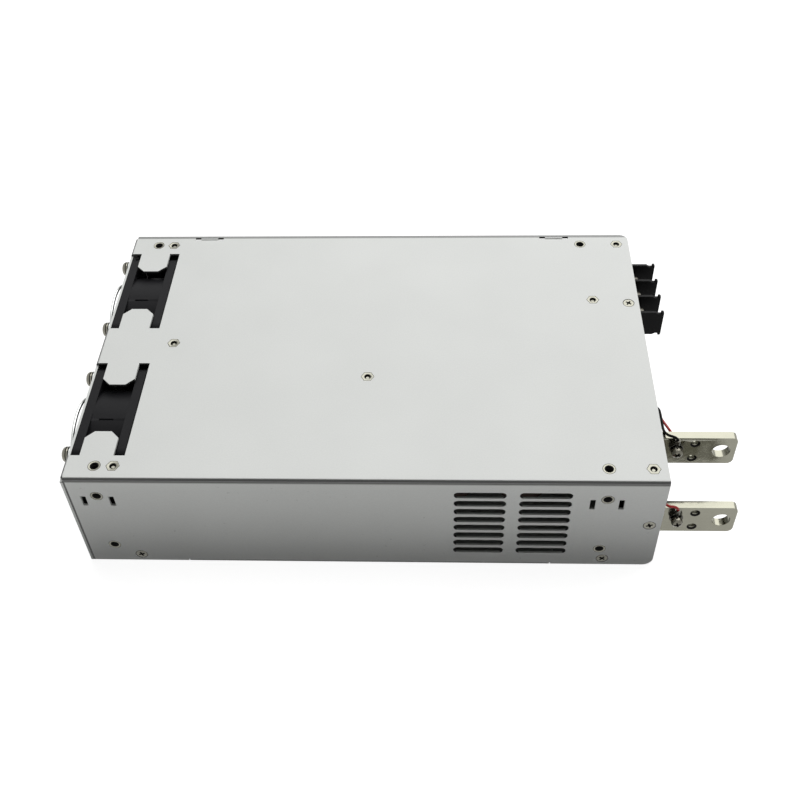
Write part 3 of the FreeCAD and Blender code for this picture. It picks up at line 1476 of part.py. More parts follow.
def make_trimmer():
    """Voltage trimmer: a square base on the signal board and a slotted rotor in it."""
    size = d.trimmer_size
    y, z = d.trimmer_y, d.signal_row_z
    base = box(d.trimmer_depth, size, size, SIGNAL_FACE, y - size / 2, z - size / 2)
    socket = cylinder(d.trimmer_shaft + d.trimmer_shaft_gap, d.trimmer_shaft_length + d.overcut,
                      SIGNAL_FACE + d.trimmer_depth - d.trimmer_shaft_length, y, z, TURN_X)
    keep(without(base, socket), "trimmer_base")
    body = new_body("voltage_trimmer")
    seat = SIGNAL_FACE + d.trimmer_depth + d.trimmer_lift
    pad(body, "YZ", 0, d.trimmer_rotor_depth, circle(0, 0, d.trimmer_rotor))
    pad(body, "YZ", -d.trimmer_shaft_length, 0, circle(0, 0, d.trimmer_shaft))
    cut(body, "YZ", d.trimmer_rotor_depth - d.trimmer_slot_depth,
        d.trimmer_rotor_depth + d.overcut,
        rectangle(-d.trimmer_slot_reach, -d.trimmer_slot / 2, d.trimmer_slot_reach,
                  d.trimmer_slot / 2))
    place(body, seat, y, z)


# Parts that hang from the main board

def can(x, y, radius, height):
    """Capacitor can with a rolled groove near the board."""
    return cylinder(radius, height, x, y, BOARD_LOW - height)


def toroid(x, y, outer, inner, height):
    """Wound ring core that stands flat against the board."""
    low = BOARD_LOW - height
    return without(cylinder(outer, height, x, y, low),
                   cylinder(inner, height, x, y, low))


def make_bulk_capacitors():
    """Four bulk capacitors behind the far fan."""
    spots = [(d.bulk_x + column * d.bulk_pitch_x, d.bulk_y - row * d.bulk_pitch_y)
             for column in range(2) for row in range(2)]
    cans = []
    for x, y in spots:
        low = BOARD_LOW - d.bulk_height
        groove_z = BOARD_LOW - d.bulk_groove_drop
        groove = without(
            cylinder(d.bulk_radius + d.overcut, 2 * d.bulk_groove, x, y, groove_z),
            cylinder(d.bulk_radius - d.bulk_groove, 2 * d.bulk_groove, x, y, groove_z))
        cans.append(without(cylinder(d.bulk_radius, d.bulk_height, x, y, low), groove))
    group("bulk_capacitors", cans)


def make_chokes():
    """Wound chokes: power factor pair, line pair and output pair."""
    group("power_factor_chokes", [
        toroid(d.choke_x + index * d.choke_pitch, d.choke_y, d.choke_outer, d.choke_inner,
               d.choke_height) for index in range(2)])
    group("line_chokes", [
        toroid(d.line_choke_x + index * d.line_choke_pitch, d.choke_y, d.line_choke_outer,
               d.line_choke_inner, d.line_choke_height) for index in range(2)])
    group("output_chokes", [
        toroid(d.output_choke_x + index * d.output_choke_pitch, d.output_choke_y,
               d.output_choke_outer, d.output_choke_inner, d.output_choke_height)
        for index in range(2)])


def make_input_parts():
    """Film capacitors, fuse and relay of the input stage."""
    group("film_capacitors", [
        middle_box(d.filter_length, d.filter_width, d.filter_height,
                   d.filter_x + index * d.filter_pitch, d.filter_y,
                   BOARD_LOW - d.filter_height) for index in range(2)])
    axis_z = BOARD_LOW - d.fuse_drop
    start = d.fuse_x - d.fuse_length / 2
    tube = cylinder(d.fuse_radius, d.fuse_length, start, d.fuse_y, axis_z, TURN_X)
    clips = [box(d.fuse_cap, 2 * d.fuse_radius, d.fuse_drop, end, d.fuse_y - d.fuse_radius, axis_z)
             for end in (start, start + d.fuse_length - d.fuse_cap)]
    keep(fuse(tube, *clips), "input_fuse")
    keep(middle_box(d.relay_length, d.relay_width, d.relay_height, d.relay_x, d.relay_y,
                    BOARD_LOW - d.relay_height), "inrush_relay")


def make_heatsink(label, x, y, length):
    """Extruded heatsink: an upright plate with a row of fins on one side."""
    body = new_body(label)
    low = BOARD_LOW - d.sink_height
    pad(body, "YZ", x, x + length, rectangle(y, low, y + d.sink_plate, BOARD_LOW))
    fin = pad(body, "YZ", x, x + length, rectangle(
        y + d.sink_plate / 2, low + d.sink_fin_low, y + d.sink_plate + d.sink_fin_reach,
        low + d.sink_fin_low + d.sink_fin))
    repeat_along(body, [fin], "Z", d.sink_fin_pitch, d.sink_fin_count)
    return body


SINKS = (
    ("heatsink_input", d.sink_pfc_x, d.sink_pfc_y, d.sink_pfc_length),
    ("heatsink_inverter", d.sink_inverter_x, d.sink_inverter_y, d.sink_inverter_length),
    ("heatsink_output", d.sink_output_x, d.sink_output_y, d.sink_output_length))


def make_power_devices():
    """Power transistors and rectifiers on the flat sides of the heatsinks."""
    for label, x, y, length in SINKS:
        make_heatsink(label, x, y, length)
        count = int(d.device_count.value)
        span = length - 2 * d.device_margin - d.device_length
        devices = []
        for index in range(count):
            start = x + d.device_margin + span * index / (d.device_count - 1)
            low = BOARD_LOW - d.device_drop - d.device_height
            package = box(d.device_length, d.device_width, d.device_height, start,
                          y - d.device_width, low)
            leads = box(d.device_lead_width, d.device_lead_thickness, d.device_drop,
                        start + (d.device_length - d.device_lead_width) / 2,
                        y - d.device_width / 2, BOARD_LOW - d.device_drop)
            devices.append(fuse(package, leads))
        group(label.replace("heatsink", "devices"), devices)


def make_transformers():
    """Ferrite cores and their windings."""
    cores = []
    coils = []
    for index in range(2):
        x = d.transformer_x + index * d.transformer_pitch
        y = d.transformer_y
        low = BOARD_LOW - d.core_height
        inside = (d.core_length - 2 * d.core_leg - d.core_centre) / 2
        opening = d.core_height - 2 * d.core_yoke
        windows = []
        for start in (x - d.core_centre / 2 - inside, x + d.core_centre / 2):
            windows.append(box(inside, d.core_width + 2 * d.overcut, opening, start,
                               y - d.core_width / 2 - d.overcut, low + d.core_yoke))
        cores.append(without(middle_box(d.core_length, d.core_width, d.core_height, x, y, low),
                             *windows))
        height = opening - 2 * d.coil_gap
        round_coil = cylinder(d.coil_radius, height, x, y, low + d.core_yoke + d.coil_gap)
        leg = middle_box(d.core_centre + 2 * d.coil_gap, d.core_width + 2 * d.coil_gap,
                         height + 2 * d.overcut, x, y, low + d.core_yoke - d.overcut)
        coils.append(without(round_coil, leg))
    group("transformer_cores", cores)
    group("transformer_windings", coils)


def make_output_capacitors():
    """Rows of output capacitors beside the bars."""
    cans = []
    for column in range(int(d.output_cap_columns.value)):
        for row in range(int(d.output_cap_rows.value)):
            cans.append(can(d.output_cap_x + column * d.output_cap_pitch,
                            d.output_cap_y + row * d.output_cap_pitch,
                            d.output_cap_radius, d.output_cap_height))
    group("output_capacitors", cans)


def make_control_board():
    """Small upright control board with its two chips."""
    low = BOARD_LOW - d.control_height
    board = box(d.control_length, d.board_thickness, d.control_height, d.control_x, d.control_y, low)
    chips = []
    count = int(d.control_chips.value)
    step = d.control_length / (count + 1)
    for index in range(count):
        chips.append(box(d.control_chip_length, d.control_chip_depth, d.control_chip_height,
                         d.control_x + step * (index + 1) - d.control_chip_length / 2,
                         d.control_y + d.board_thickness,
                         low + (d.control_height - d.control_chip_height) / 2))
    keep(fuse(board, *chips), "control_board")


def check_document():
    """Stops on any object that failed, and on any sub-part that is empty or not valid."""
    for item in doc.Objects:
        if "Invalid" in item.State or "Error" in item.State:
            raise RuntimeError(item.Name + " failed: " + ", ".join(item.State))
    for part in parts:
        if part.Shape.isNull() or not part.Shape.isValid() or not part.Shape.Solids:
            raise RuntimeError(part.Label + " has no valid solid")


def export_parts():
    """Writes each sub-part to its own file."""
    os.makedirs("parts", exist_ok=True)
    for part in parts:
        part.Shape.exportStep(os.path.join("parts", part.Label + ".step"))


make_chassis()
make_cover()
make_terminal_panel()
make_mounting_nuts()
make_case_screws()
for fan_name, fan_side in SIDES:
    make_fan_frame(fan_name, fan_side)
    make_fan_spider(fan_name, fan_side)
    make_fan_rotor(fan_name, fan_side)
    make_fan_stator(fan_name, fan_side)
    make_finger_guard(fan_name, fan_side)
make_fan_screws()
make_standoffs()
make_board_screws()
make_main_board()
make_insulation_film()
make_terminal_block()
make_terminal_clamps()
make_terminal_screws()
make_output_bar("output_bar_front", d.bar_front_y, d.bar_front_low, False)
make_output_bar("output_bar_rear", d.bar_rear_y, d.bar_rear_low, True)
make_bar_bushes()
make_sense_hardware()
make_sense_lead("sense_lead_black", BLACK_ROUTE, BARS[1])
make_sense_lead("sense_lead_red", RED_ROUTE, BARS[0])
make_signal_board()
make_signal_header()
make_signal_plug()
make_status_lamp()
make_trimmer()
make_bulk_capacitors()
make_chokes()
make_input_parts()
make_power_devices()
make_transformers()
make_output_capacitors()
make_control_board()
doc.recompute()
check_document()
export_parts()
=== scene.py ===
import json
import math

import bmesh
import bpy
from mathutils import Matrix, Vector


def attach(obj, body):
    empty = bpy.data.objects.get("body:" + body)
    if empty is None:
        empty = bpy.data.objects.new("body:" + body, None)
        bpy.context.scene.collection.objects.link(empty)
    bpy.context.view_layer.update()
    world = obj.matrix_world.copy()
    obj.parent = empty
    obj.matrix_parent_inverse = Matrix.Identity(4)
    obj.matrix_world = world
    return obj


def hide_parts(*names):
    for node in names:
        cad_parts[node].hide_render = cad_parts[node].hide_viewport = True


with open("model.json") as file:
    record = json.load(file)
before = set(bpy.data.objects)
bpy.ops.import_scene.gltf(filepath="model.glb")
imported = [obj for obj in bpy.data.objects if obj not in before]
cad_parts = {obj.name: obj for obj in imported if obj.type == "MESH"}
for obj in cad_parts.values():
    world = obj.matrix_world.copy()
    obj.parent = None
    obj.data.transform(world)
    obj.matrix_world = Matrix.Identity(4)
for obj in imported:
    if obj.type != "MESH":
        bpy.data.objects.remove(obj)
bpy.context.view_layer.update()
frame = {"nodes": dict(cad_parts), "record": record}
nodes = frame["nodes"]
scene = bpy.context.scene
scene.view_settings.view_transform = "Standard"

# The case in metres: half its length and width, its height and its sheet thickness
HALF_LENGTH = 0.139
HALF_WIDTH = 0.0889
HEIGHT = 0.0635
SHEET = 0.0012


# Camera of the photograph

LENS_MM = 48.14
SENSOR_MM = 36.0
CAMERA_PLACE = (0.038808, -0.392520, 0.440474)
CAMERA_RIGHT = Vector((0.999024, 0.032415, -0.030004))
CAMERA_DOWN = Vector((0.003085, -0.728843, -0.684674))
CAMERA_AHEAD = Vector((-0.044061, 0.683913, -0.728232))


def make_camera():
    """Camera at the photograph's place, with its angle of view."""
    data = bpy.data.cameras.new("camera")
    data.sensor_width = SENSOR_MM
    data.lens = LENS_MM
    data.clip_start = 0.01
    data.clip_end = 50.0
    turn = Matrix((CAMERA_RIGHT, -CAMERA_DOWN, -CAMERA_AHEAD)).transposed().to_4x4()
    camera = bpy.data.objects.new("camera", data)
    camera.matrix_world = Matrix.Translation(CAMERA_PLACE) @ turn
    scene.collection.objects.link(camera)
    scene.camera = camera


# Shader nodes

class Nodes:
    """Short calls for the nodes of one tree; values are plain or another node's socket."""

    def __init__(self, tree):
        self.tree = tree

    def feed(self, socket, value):
        """Link a socket to a value's socket, or set it to a plain value."""
        if isinstance(value, bpy.types.NodeSocket):
            self.tree.links.new(value, socket)
        else:
            socket.default_value = value

    def add(self, kind, values=None, **settings):
        node = self.tree.nodes.new(kind)
        for key, value in settings.items():
            setattr(node, key, value)
        for key, value in (values or {}).items():
            self.feed(node.inputs[key], value)
        return node

    def math(self, operation, first, second=0.0, third=0.0):
        values = {0: first, 1: second, 2: third}
        return self.add("ShaderNodeMath", values, operation=operation).outputs[0]

    def absolute(self, value):
        return self.math("ABSOLUTE", value)

    def product(self, first, second):
        return self.math("MULTIPLY", first, second)

    def highest(self, first, *others):
        for other in others:
            first = self.math("MAXIMUM", first, other)
        return first

    def map(self, value, low, high, new_low, new_high):
        values = {"Value": value, 1: low, 2: high, 3: new_low, 4: new_high}
        return self.add("ShaderNodeMapRange", values).outputs[0]

    def seen(self):
        """1 for the rays that show the background: camera, transmission and glossy rays."""
        path = self.add("ShaderNodeLightPath").outputs
        return self.highest(path["Is Camera Ray"], path["Is Transmission Ray"],
                            path["Is Glossy Ray"])


class Shader(Nodes):
    """Nodes of a new material, around its Principled BSDF."""

    def __init__(self, name):
        self.material = bpy.data.materials.new(name)
        self.material.use_nodes = True
        super().__init__(self.material.node_tree)
        self.main = self.tree.nodes["Principled BSDF"]
        self.place = self.add("ShaderNodeTexCoord").outputs["Object"]

    def put(self, key, value):
        self.feed(self.main.inputs[key], value)

    def split(self, vector):
        return self.add("ShaderNodeSeparateXYZ", {0: vector}).outputs

    def stretched(self, scale):
        return self.add("ShaderNodeMapping", {"Vector": self.place, "Scale": scale}).outputs[0]

    def noise(self, scale, detail=3.0, rough=0.55, vector=None):
        values = {"Vector": vector or self.place, "Scale": scale, "Detail": detail,
                  "Roughness": rough}
        return self.add("ShaderNodeTexNoise", values).outputs[0]

    def ramp(self, value, stops):
        node = self.add("ShaderNodeValToRGB", {"Fac": value})
        band = node.color_ramp
        while len(band.elements) < len(stops):
            band.elements.new(0.5)
        for element, (at, colour) in zip(band.elements, stops):
            element.position = at
            element.color = (*colour, 1.0)
        return node.outputs[0]

    def mix(self, share, first, second):
        values = {0: share, 6: first, 7: second}
        return self.add("ShaderNodeMix", values, data_type="RGBA").outputs[2]

    def bump(self, height, distance, strength=1.0, before=None):
        values = {"Height": height, "Distance": distance, "Strength": strength}
        if before is not None:
            values["Normal"] = before
        return self.add("ShaderNodeBump", values).outputs[0]


def shade(colour, factor):
    """The colour made lighter or darker, within 1."""
    return tuple(min(1.0, channel * factor) for channel in colour)


def linear(hexcode):
    """Linear colour of a written sRGB hex code."""
    values = []
    for index in (0, 2, 4):
        c = int(hexcode[index:index + 2], 16) / 255
        values.append(c / 12.92 if c <= 0.04045 else ((c + 0.055) / 1.055) ** 2.4)
    return tuple(values)


# Painted shade on the sheet: its fold, seam, rear edge, foot and inside are darkened at these
# places.
# Edges of the sheet that the photograph shows dark, in metres
FOLD_FROM, FOLD_TO = 0.0606, 0.0616
SEAM_X, SEAM_REACH = -0.1374, 0.00045
REAR_FROM, REAR_TO = 0.0866, 0.0871
TONGUE_HALF_LENGTH = 0.089
HOLLOW_REACH = (0.1379, 0.0879, 0.0306)


def sheet_specks_and_painted_shade(s, painted_fold_share):
    """Shares of dark on a sheet part: painted shade on its bent and rounded faces, then dark
    specks with painted shade on its fold, seam, rear edge, foot and inside.
    """
    sizes = [s.absolute(side) for side in s.split(s.add("ShaderNodeNewGeometry").outputs[3])]
    place = s.split(s.place)
    upright = s.map(sizes[1], 0.9, 0.99, 0.0, 1.0)
    specks = s.map(s.noise(340.0, 2.0), 0.7, 0.78, 0.0, 0.2)
    # Painted shade along the front fold, on upright faces.
    fold = s.map(place[2], FOLD_FROM, FOLD_TO, 0.0, painted_fold_share)
    specks_and_fold_shade = s.product(s.highest(specks, fold), upright)
    # Painted shadow in the seam at the fan end.
    seam = s.product(s.math("COMPARE", place[0], SEAM_X, SEAM_REACH),
                     s.map(sizes[2], 0.1, 0.3, 1.0, 0.0))
    # Painted shade along the rear edge of the top.
    rear = s.product(s.map(place[1], REAR_FROM, REAR_TO, 0.0, 0.75),
                     s.map(sizes[2], 0.9, 0.99, 0.0, 1.0))
    # Painted shadow at the foot of the front wall, along the tongue.
    foot = s.product(s.map(place[2], SHEET - 0.0002, SHEET + 0.0001, 0.55, 0.0),
                     s.map(place[1], 0.0001 - HALF_WIDTH, 0.0003 - HALF_WIDTH, 1.0, 0.0))
    foot = s.product(foot, s.map(s.absolute(place[0]), TONGUE_HALF_LENGTH - 0.0001,
                                 TONGUE_HALF_LENGTH + 0.0001, 1.0, 0.0))
    # Painted shade on the case's inside faces.
    middle = (0.0, 0.0, HEIGHT / 2)
    depths = [s.math("SUBTRACT", reach, s.absolute(s.math("SUBTRACT", at, centre)))
              for at, centre, reach in zip(place, middle, HOLLOW_REACH)]
    depth = s.math("MINIMUM", s.math("MINIMUM", depths[0], depths[1]), depths[2])
    inside = s.map(depth, 0.0, 0.0001, 0.0, 0.9)
    # Painted shade on bent and rounded faces, whose normals lie off the axes.
    painted_bend_shade = s.map(s.highest(*sizes), 0.9, 0.995, 1.0, 0.0)
    return painted_bend_shade, s.highest(specks_and_fold_shade, seam, rear, foot, inside)


def speckled(name, hexcode, metallic, rough, scale=900.0, spread=0.06, depth=0.00002,
             coat=0.0, specular=0.5, painted_fold_share=None):
    """Even finish with a fine grain and faint patches; where asked, a sheet's dark specks and
    painted shade.
    """
    s = Shader(name)
    base = linear(hexcode)
    grain = s.noise(scale, 4.0)
    patch = s.noise(22.0, 2.0)
    fine = s.ramp(grain, ((0.3, shade(base, 1 - spread)), (0.7, shade(base, 1 + spread))))
    wide = s.ramp(patch, ((0.3, shade(base, 0.96)), (0.7, shade(base, 1.04))))
    colour = s.mix(0.5, fine, wide)
    # Painted shade on a sheet part, mixed with its dark specks.
    if painted_fold_share is not None:
        painted_bend_shade, specks_and_painted_shade = sheet_specks_and_painted_shade(s, painted_fold_share)
        colour = s.mix(painted_bend_shade, colour, (*shade(base, 0.08), 1.0))
        colour = s.mix(specks_and_painted_shade, colour, (*shade(base, 0.15), 1.0))
    s.put("Base Color", colour)
    s.put("Metallic", metallic)
    s.put("Roughness", s.map(grain, 0.3, 0.7, rough - 0.06, rough + 0.06))
    s.put("Normal", s.bump(grain, depth, 0.6))
    s.put("Specular IOR Level", specular)
    if coat:
        s.put("Coat Weight", coat)
        s.put("Coat Roughness", 0.25)
    return s.material


def paint(material, *names):
    """Give parts that are carried over as they are one material."""
    for name in names:
        mesh = nodes[name].data
        mesh.materials.clear()
        mesh.materials.append(material)


# Floor, backdrop and light

# Brightness of the floor and the surround, 1 being white
FLOOR_GLOW = 0.88
FLOOR_TONE = 0.4
TABLE_TONE = 0.95
TABLE_GLOW = 0.38
# Painted glow at the case's foot, seen by diffuse light only
PAINTED_FOOT_GLOW = 0.11
SURROUND_LIGHT = 0.12


def make_floor():
    """White floor that keeps a soft shadow; for diffuse light it has a painted shadow, black
    beside the case, and a painted glow at the case's foot.
    """
    bpy.ops.mesh.primitive_plane_add(size=8.0, location=(0, 0, 0))
    floor = bpy.context.object
    floor.name = "floor"
    s = Shader("floor")
    s.tree.nodes.remove(s.main)
    seen = s.seen()
    spot = s.split(s.place)
    around = s.highest(s.math("SUBTRACT", s.absolute(spot[0]), HALF_LENGTH),
                       s.math("SUBTRACT", s.absolute(spot[1]), HALF_WIDTH))
    # For diffuse light: painted shadow, black beside the case and lighter away from it, and a
    # painted glow at its foot.
    far = s.map(around, 0.03, 0.11, 0.0, 1.0)
    painted_shadow_tone = s.mix(far, (0, 0, 0, 1), (TABLE_TONE, TABLE_TONE, TABLE_TONE, 1))
    strength = s.math("ADD", s.product(far, TABLE_GLOW),
                      s.map(around, 0.003, 0.012, PAINTED_FOOT_GLOW, 0.0))
    shown = (FLOOR_TONE, FLOOR_TONE, FLOOR_TONE, 1)
    pair = []
    for colour, glow in ((painted_shadow_tone, strength), (shown, FLOOR_GLOW)):
        diffuse = s.add("ShaderNodeBsdfDiffuse", {"Color": colour}).outputs[0]
        emission = s.add("ShaderNodeEmission", {"Strength": glow}).outputs[0]
        pair.append(s.add("ShaderNodeAddShader", {0: diffuse, 1: emission}).outputs[0])
    both = s.add("ShaderNodeMixShader", {0: seen, 1: pair[0], 2: pair[1]}).outputs[0]
    s.feed(s.tree.nodes["Material Output"].inputs["Surface"], both)
    floor.data.materials.append(s.material)


def make_surround():
    """White surround that gives only a little light of its own."""
    world = bpy.data.worlds.new("surround")
    scene.world = world
    world.use_nodes = True
    w = Nodes(world.node_tree)
    back = w.tree.nodes["Background"]
    w.feed(back.inputs["Color"], (1, 1, 1, 1))
    w.feed(back.inputs["Strength"], w.map(w.seen(), 0.0, 1.0, SURROUND_LIGHT, 1.0))


def make_lamp(name, place, size, power):
    """Square lamp that points at the middle of the floor."""
    data = bpy.data.lights.new(name, "AREA")
    data.shape = "SQUARE"
    data.size = size
    data.energy = power
    lamp = bpy.data.objects.new(name, data)
    lamp.location = place
    lamp.rotation_euler = (-Vector(place)).to_track_quat("-Z", "Y").to_euler()
    scene.collection.objects.link(lamp)


make_camera()
make_floor()
make_surround()
make_lamp("back_light", (1.05, 2.25, 3.45), 5.7, 252.0)


# Materials

def brushed(name, hexcode, rough, stretch, spread=0.08, mottle=0.0):
    """Metal with fine drawn lines, and where asked a soft uneven plating."""
    s = Shader(name)
    base = linear(hexcode)
    lines = s.noise(1.0, 4.0, 0.6, s.stretched(stretch))
    patch = s.noise(160.0, 3.0)
    fine = s.ramp(lines, ((0.3, shade(base, 1 - spread)), (0.7, shade(base, 1 + spread))))
    wide = s.ramp(patch, ((0.3, shade(base, 0.9)), (0.7, shade(base, 1.06))))
    s.put("Base Color", s.mix(0.5, fine, wide))
    s.put("Metallic", 1.0)
    s.put("Roughness", s.map(patch, 0.3, 0.7, rough - 0.05, rough + 0.07))
    normal = s.bump(lines, 0.00001, 0.5)
    if mottle:
        normal = s.bump(patch, mottle, 1.0, normal)
    s.put("Normal", normal)
    return s.material


def wound(name, hexcode, scale, rough):
    """Fine turns of enamelled wire."""
    s = Shader(name)
    base = linear(hexcode)
    turns = s.add("ShaderNodeTexWave", {"Vector": s.place, "Scale": scale, "Distortion": 0.6,
                                        "Detail": 1.0}, bands_direction="Z").outputs[1]
    s.put("Base Color", s.ramp(turns, ((0.1, shade(base, 0.45)), (0.6, base))))
    s.put("Metallic", 0.6)
    s.put("Roughness", rough)
    s.put("Normal", s.bump(turns, 0.0003, 0.8))
    return s.material


sheet = speckled("sheet_steel", "d8dad7", 0.0, 0.42, scale=1400.0, spread=0.05, depth=0.00001,
                 painted_fold_share=0.0)
paint(sheet, "cover", "terminal_panel")
# The chassis also gets painted shade along its front fold.
fold_shaded_sheet = speckled("folded_steel", "d8dad7", 0.0, 0.42, scale=1400.0, spread=0.05,
                        depth=0.00001, painted_fold_share=1.0)
paint(fold_shaded_sheet, "chassis")
plated = speckled("plated_steel", "838278", 0.95, 0.3, scale=1800.0, spread=0.1)
paint(plated, "board_screws")
low_plated = speckled("low_plated_steel", "6c6b63", 0.95, 0.3, scale=1800.0, spread=0.1)
dark_metal = speckled("dark_steel", "4b4a44", 0.95, 0.14, scale=1800.0, spread=0.15)
bright = speckled("bright_steel", "7f7d73", 0.95, 0.1, scale=1800.0, spread=0.08)
dull = speckled("dull_steel", "6a685f", 0.95, 0.12, scale=1800.0, spread=0.1)
shaded_steel = speckled("shaded_steel", "55534d", 1.0, 0.4, scale=1800.0, spread=0.15)
# Painted shade for the hollows, recesses and gaps of small parts.
hollow_shade = speckled("deep_metal", "0d0c0b", 0.0, 0.5, scale=1800.0, spread=0.2, specular=0.1)
wire = speckled("guard_wire", "c4c6c4", 1.0, 0.2, scale=1200.0, spread=0.06)
paint(wire, "finger_guard_near", "finger_guard_far")
nickel = brushed("nickel_plate", "868579", 0.2, (40.0, 500.0, 500.0), 0.05, 0.0002)
fan_black = speckled("fan_plastic", "131315", 0.0, 0.5, scale=2200.0, spread=0.2, depth=0.00003,
                     specular=0.1)
black = speckled("block_plastic", "09090a", 0.0, 0.4, scale=1600.0, spread=0.2, depth=0.00002,
                 specular=0.07)
paint(black, "inrush_relay", "devices_input", "devices_inverter", "devices_output")
nylon = speckled("pale_plastic", "ddd9cc", 0.0, 0.45, scale=1500.0)
paint(nylon, "voltage_trimmer")
blue = speckled("trimmer_blue", "2f5fae", 0.0, 0.3, scale=1500.0)
paint(blue, "trimmer_base", "film_capacitors")
lamp_green = speckled("lamp_green", "7fbf6a", 0.0, 0.12, scale=800.0)
lamp_green.node_tree.nodes["Principled BSDF"].inputs["Transmission Weight"].default_value = 0.35
paint(lamp_green, "status_lamp")
board = speckled("board_laminate", "2f5a3a", 0.0, 0.32, scale=700.0, spread=0.15, coat=0.3)
paint(board, "main_board", "signal_board", "control_board")
paint(speckled("clear_film", "cfd2c8", 0.0, 0.35, scale=500.0), "insulation_film")
paint(speckled("can_sleeve", "20242e", 0.0, 0.25, scale=900.0, spread=0.12),
      "bulk_capacitors", "output_capacitors")
# Enamelled copper darkened with painted shade of the case's inside.
paint(wound("copper_winding", "2e1d12", 420.0, 0.45), "power_factor_chokes", "line_chokes",
      "output_chokes", "fan_stator_near", "fan_stator_far")
paint(brushed("heatsink_metal", "b4b6b7", 0.35, (60.0, 60.0, 900.0)), "heatsink_input",
      "heatsink_inverter", "heatsink_output")
paint(speckled("ferrite", "3a3a3c", 0.0, 0.5, scale=900.0, spread=0.2, depth=0.00005),
      "transformer_cores")
paint(speckled("winding_tape", "c9a83c", 0.0, 0.35, scale=300.0), "transformer_windings")
paint(speckled("ceramic_body", "e3e0d6", 0.0, 0.3, scale=900.0), "input_fuse")


# Mesh helpers; small parts are drawn in millimetres, outer face at z = 0, looking along +z

MM = 0.001
# The second slot of a small part holds painted shade.
FACE, PAINTED_SHADE_SLOT = 0, 1  # material slots of a small part


def circle_point(mesh, radius, step, steps, height):
    """New vertex on a circle about z."""
    turn = 2 * math.pi * step / steps
    return mesh.verts.new((radius * math.cos(turn), radius * math.sin(turn), height))


def bridge(mesh, lower, upper, slot=FACE):
    """Faces between two closed rings of vertices."""
    for step in range(len(lower)):
        after = (step + 1) % len(lower)
        face = mesh.faces.new((lower[step], lower[after], upper[after], upper[step]))
        face.material_index = slot


def islands(name):
    """Boxes of a part's separate solids, as (lowest, highest) corners in metres."""
    work = bmesh.new()
    work.from_mesh(nodes[name].data)
    bmesh.ops.remove_doubles(work, verts=work.verts, dist=1e-6)
    found = []
    left = set(work.verts)
    while left:
        front = [left.pop()]
        group = list(front)
        while front:
            vertex = front.pop()
            for edge in vertex.link_edges:
                other = edge.other_vert(vertex)
                if other in left:
                    left.remove(other)
                    front.append(other)
                    group.append(other)
        low = Vector([min(v.co[axis] for v in group) for axis in range(3)])
        high = Vector([max(v.co[axis] for v in group) for axis in range(3)])
        found.append((low, high))
    work.free()
    return sorted(found, key=lambda pair: [round(value, 4) for value in pair[0]])


def lathe(mesh, profile, steps=48):
    """Surface of revolution about z from (radius, height) points."""
    rings = [[circle_point(mesh, radius, step, steps, height) for step in range(steps)]
             for radius, height in profile]
    for lower, upper in zip(rings, rings[1:]):
        bridge(mesh, lower, upper)
    return rings


def thread(mesh, root, crest, pitch, low, high, slot=FACE, steps=24):
    """Helical thread flank between two radii, from low to high."""
    rows = [(root, low)]
    turns = max(1, int((high - low) / pitch) - 1)
    for turn in range(turns):
        base = low + turn * pitch
        rows += [(crest, base + 0.5 * pitch), (root, base + pitch)]
    columns = []
    for step in range(steps + 1):
        angle = 2 * math.pi * step / steps
        rise = pitch * step / steps
        columns.append([mesh.verts.new((radius * math.cos(angle), radius * math.sin(angle),
                                        height + rise)) for radius, height in rows])
    for first, second in zip(columns, columns[1:]):
        for index in range(len(rows) - 1):
            face = mesh.faces.new((first[index], second[index], second[index + 1],
                                   first[index + 1]))
            face.material_index = slot


def cross_cutter(span, width, depth):
    """Tapered cross that cuts a screw's recess."""
    mesh = bmesh.new()
    half, arm, low = width / 2, span / 2, -depth
    outline = ((arm, -half), (arm, half), (half, half), (half, arm), (-half, arm), (-half, half),
               (-arm, half), (-arm, -half), (-half, -half), (-half, -arm), (half, -arm),
               (half, -half))
    top = [mesh.verts.new((x * 1.06, y * 1.06, 0.6)) for x, y in outline]
    bottom = [mesh.verts.new((x * 0.52, y * 0.52, low)) for x, y in outline]
    mesh.faces.new(top)
    mesh.faces.new(list(reversed(bottom)))
    for index in range(12):
        after = (index + 1) % 12
        mesh.faces.new((top[index], bottom[index], bottom[after], top[after]))
    bmesh.ops.recalc_face_normals(mesh, faces=mesh.faces)
    return mesh


def to_data(mesh, name):
    """Mesh data from a working mesh, which is freed."""
    data = bpy.data.meshes.new(name)
    mesh.to_mesh(data)
    mesh.free()
    return data


def cut_with(data, cutter, lift):
    """The mesh after a cutter, raised by lift, is taken out of it."""
    body = bpy.data.objects.new("body", data)
    tool = bpy.data.objects.new("tool", to_data(cutter, "tool"))
    tool.location.z = lift
    scene.collection.objects.link(body)
    scene.collection.objects.link(tool)
    modifier = body.modifiers.new("cut", "BOOLEAN")
    modifier.operation = "DIFFERENCE"
    modifier.solver = "EXACT"
    modifier.object = tool
    graph = bpy.context.evaluated_depsgraph_get()
    result = bpy.data.meshes.new_from_object(body.evaluated_get(graph))
    bpy.data.objects.remove(body)
    bpy.data.objects.remove(tool)
    return result


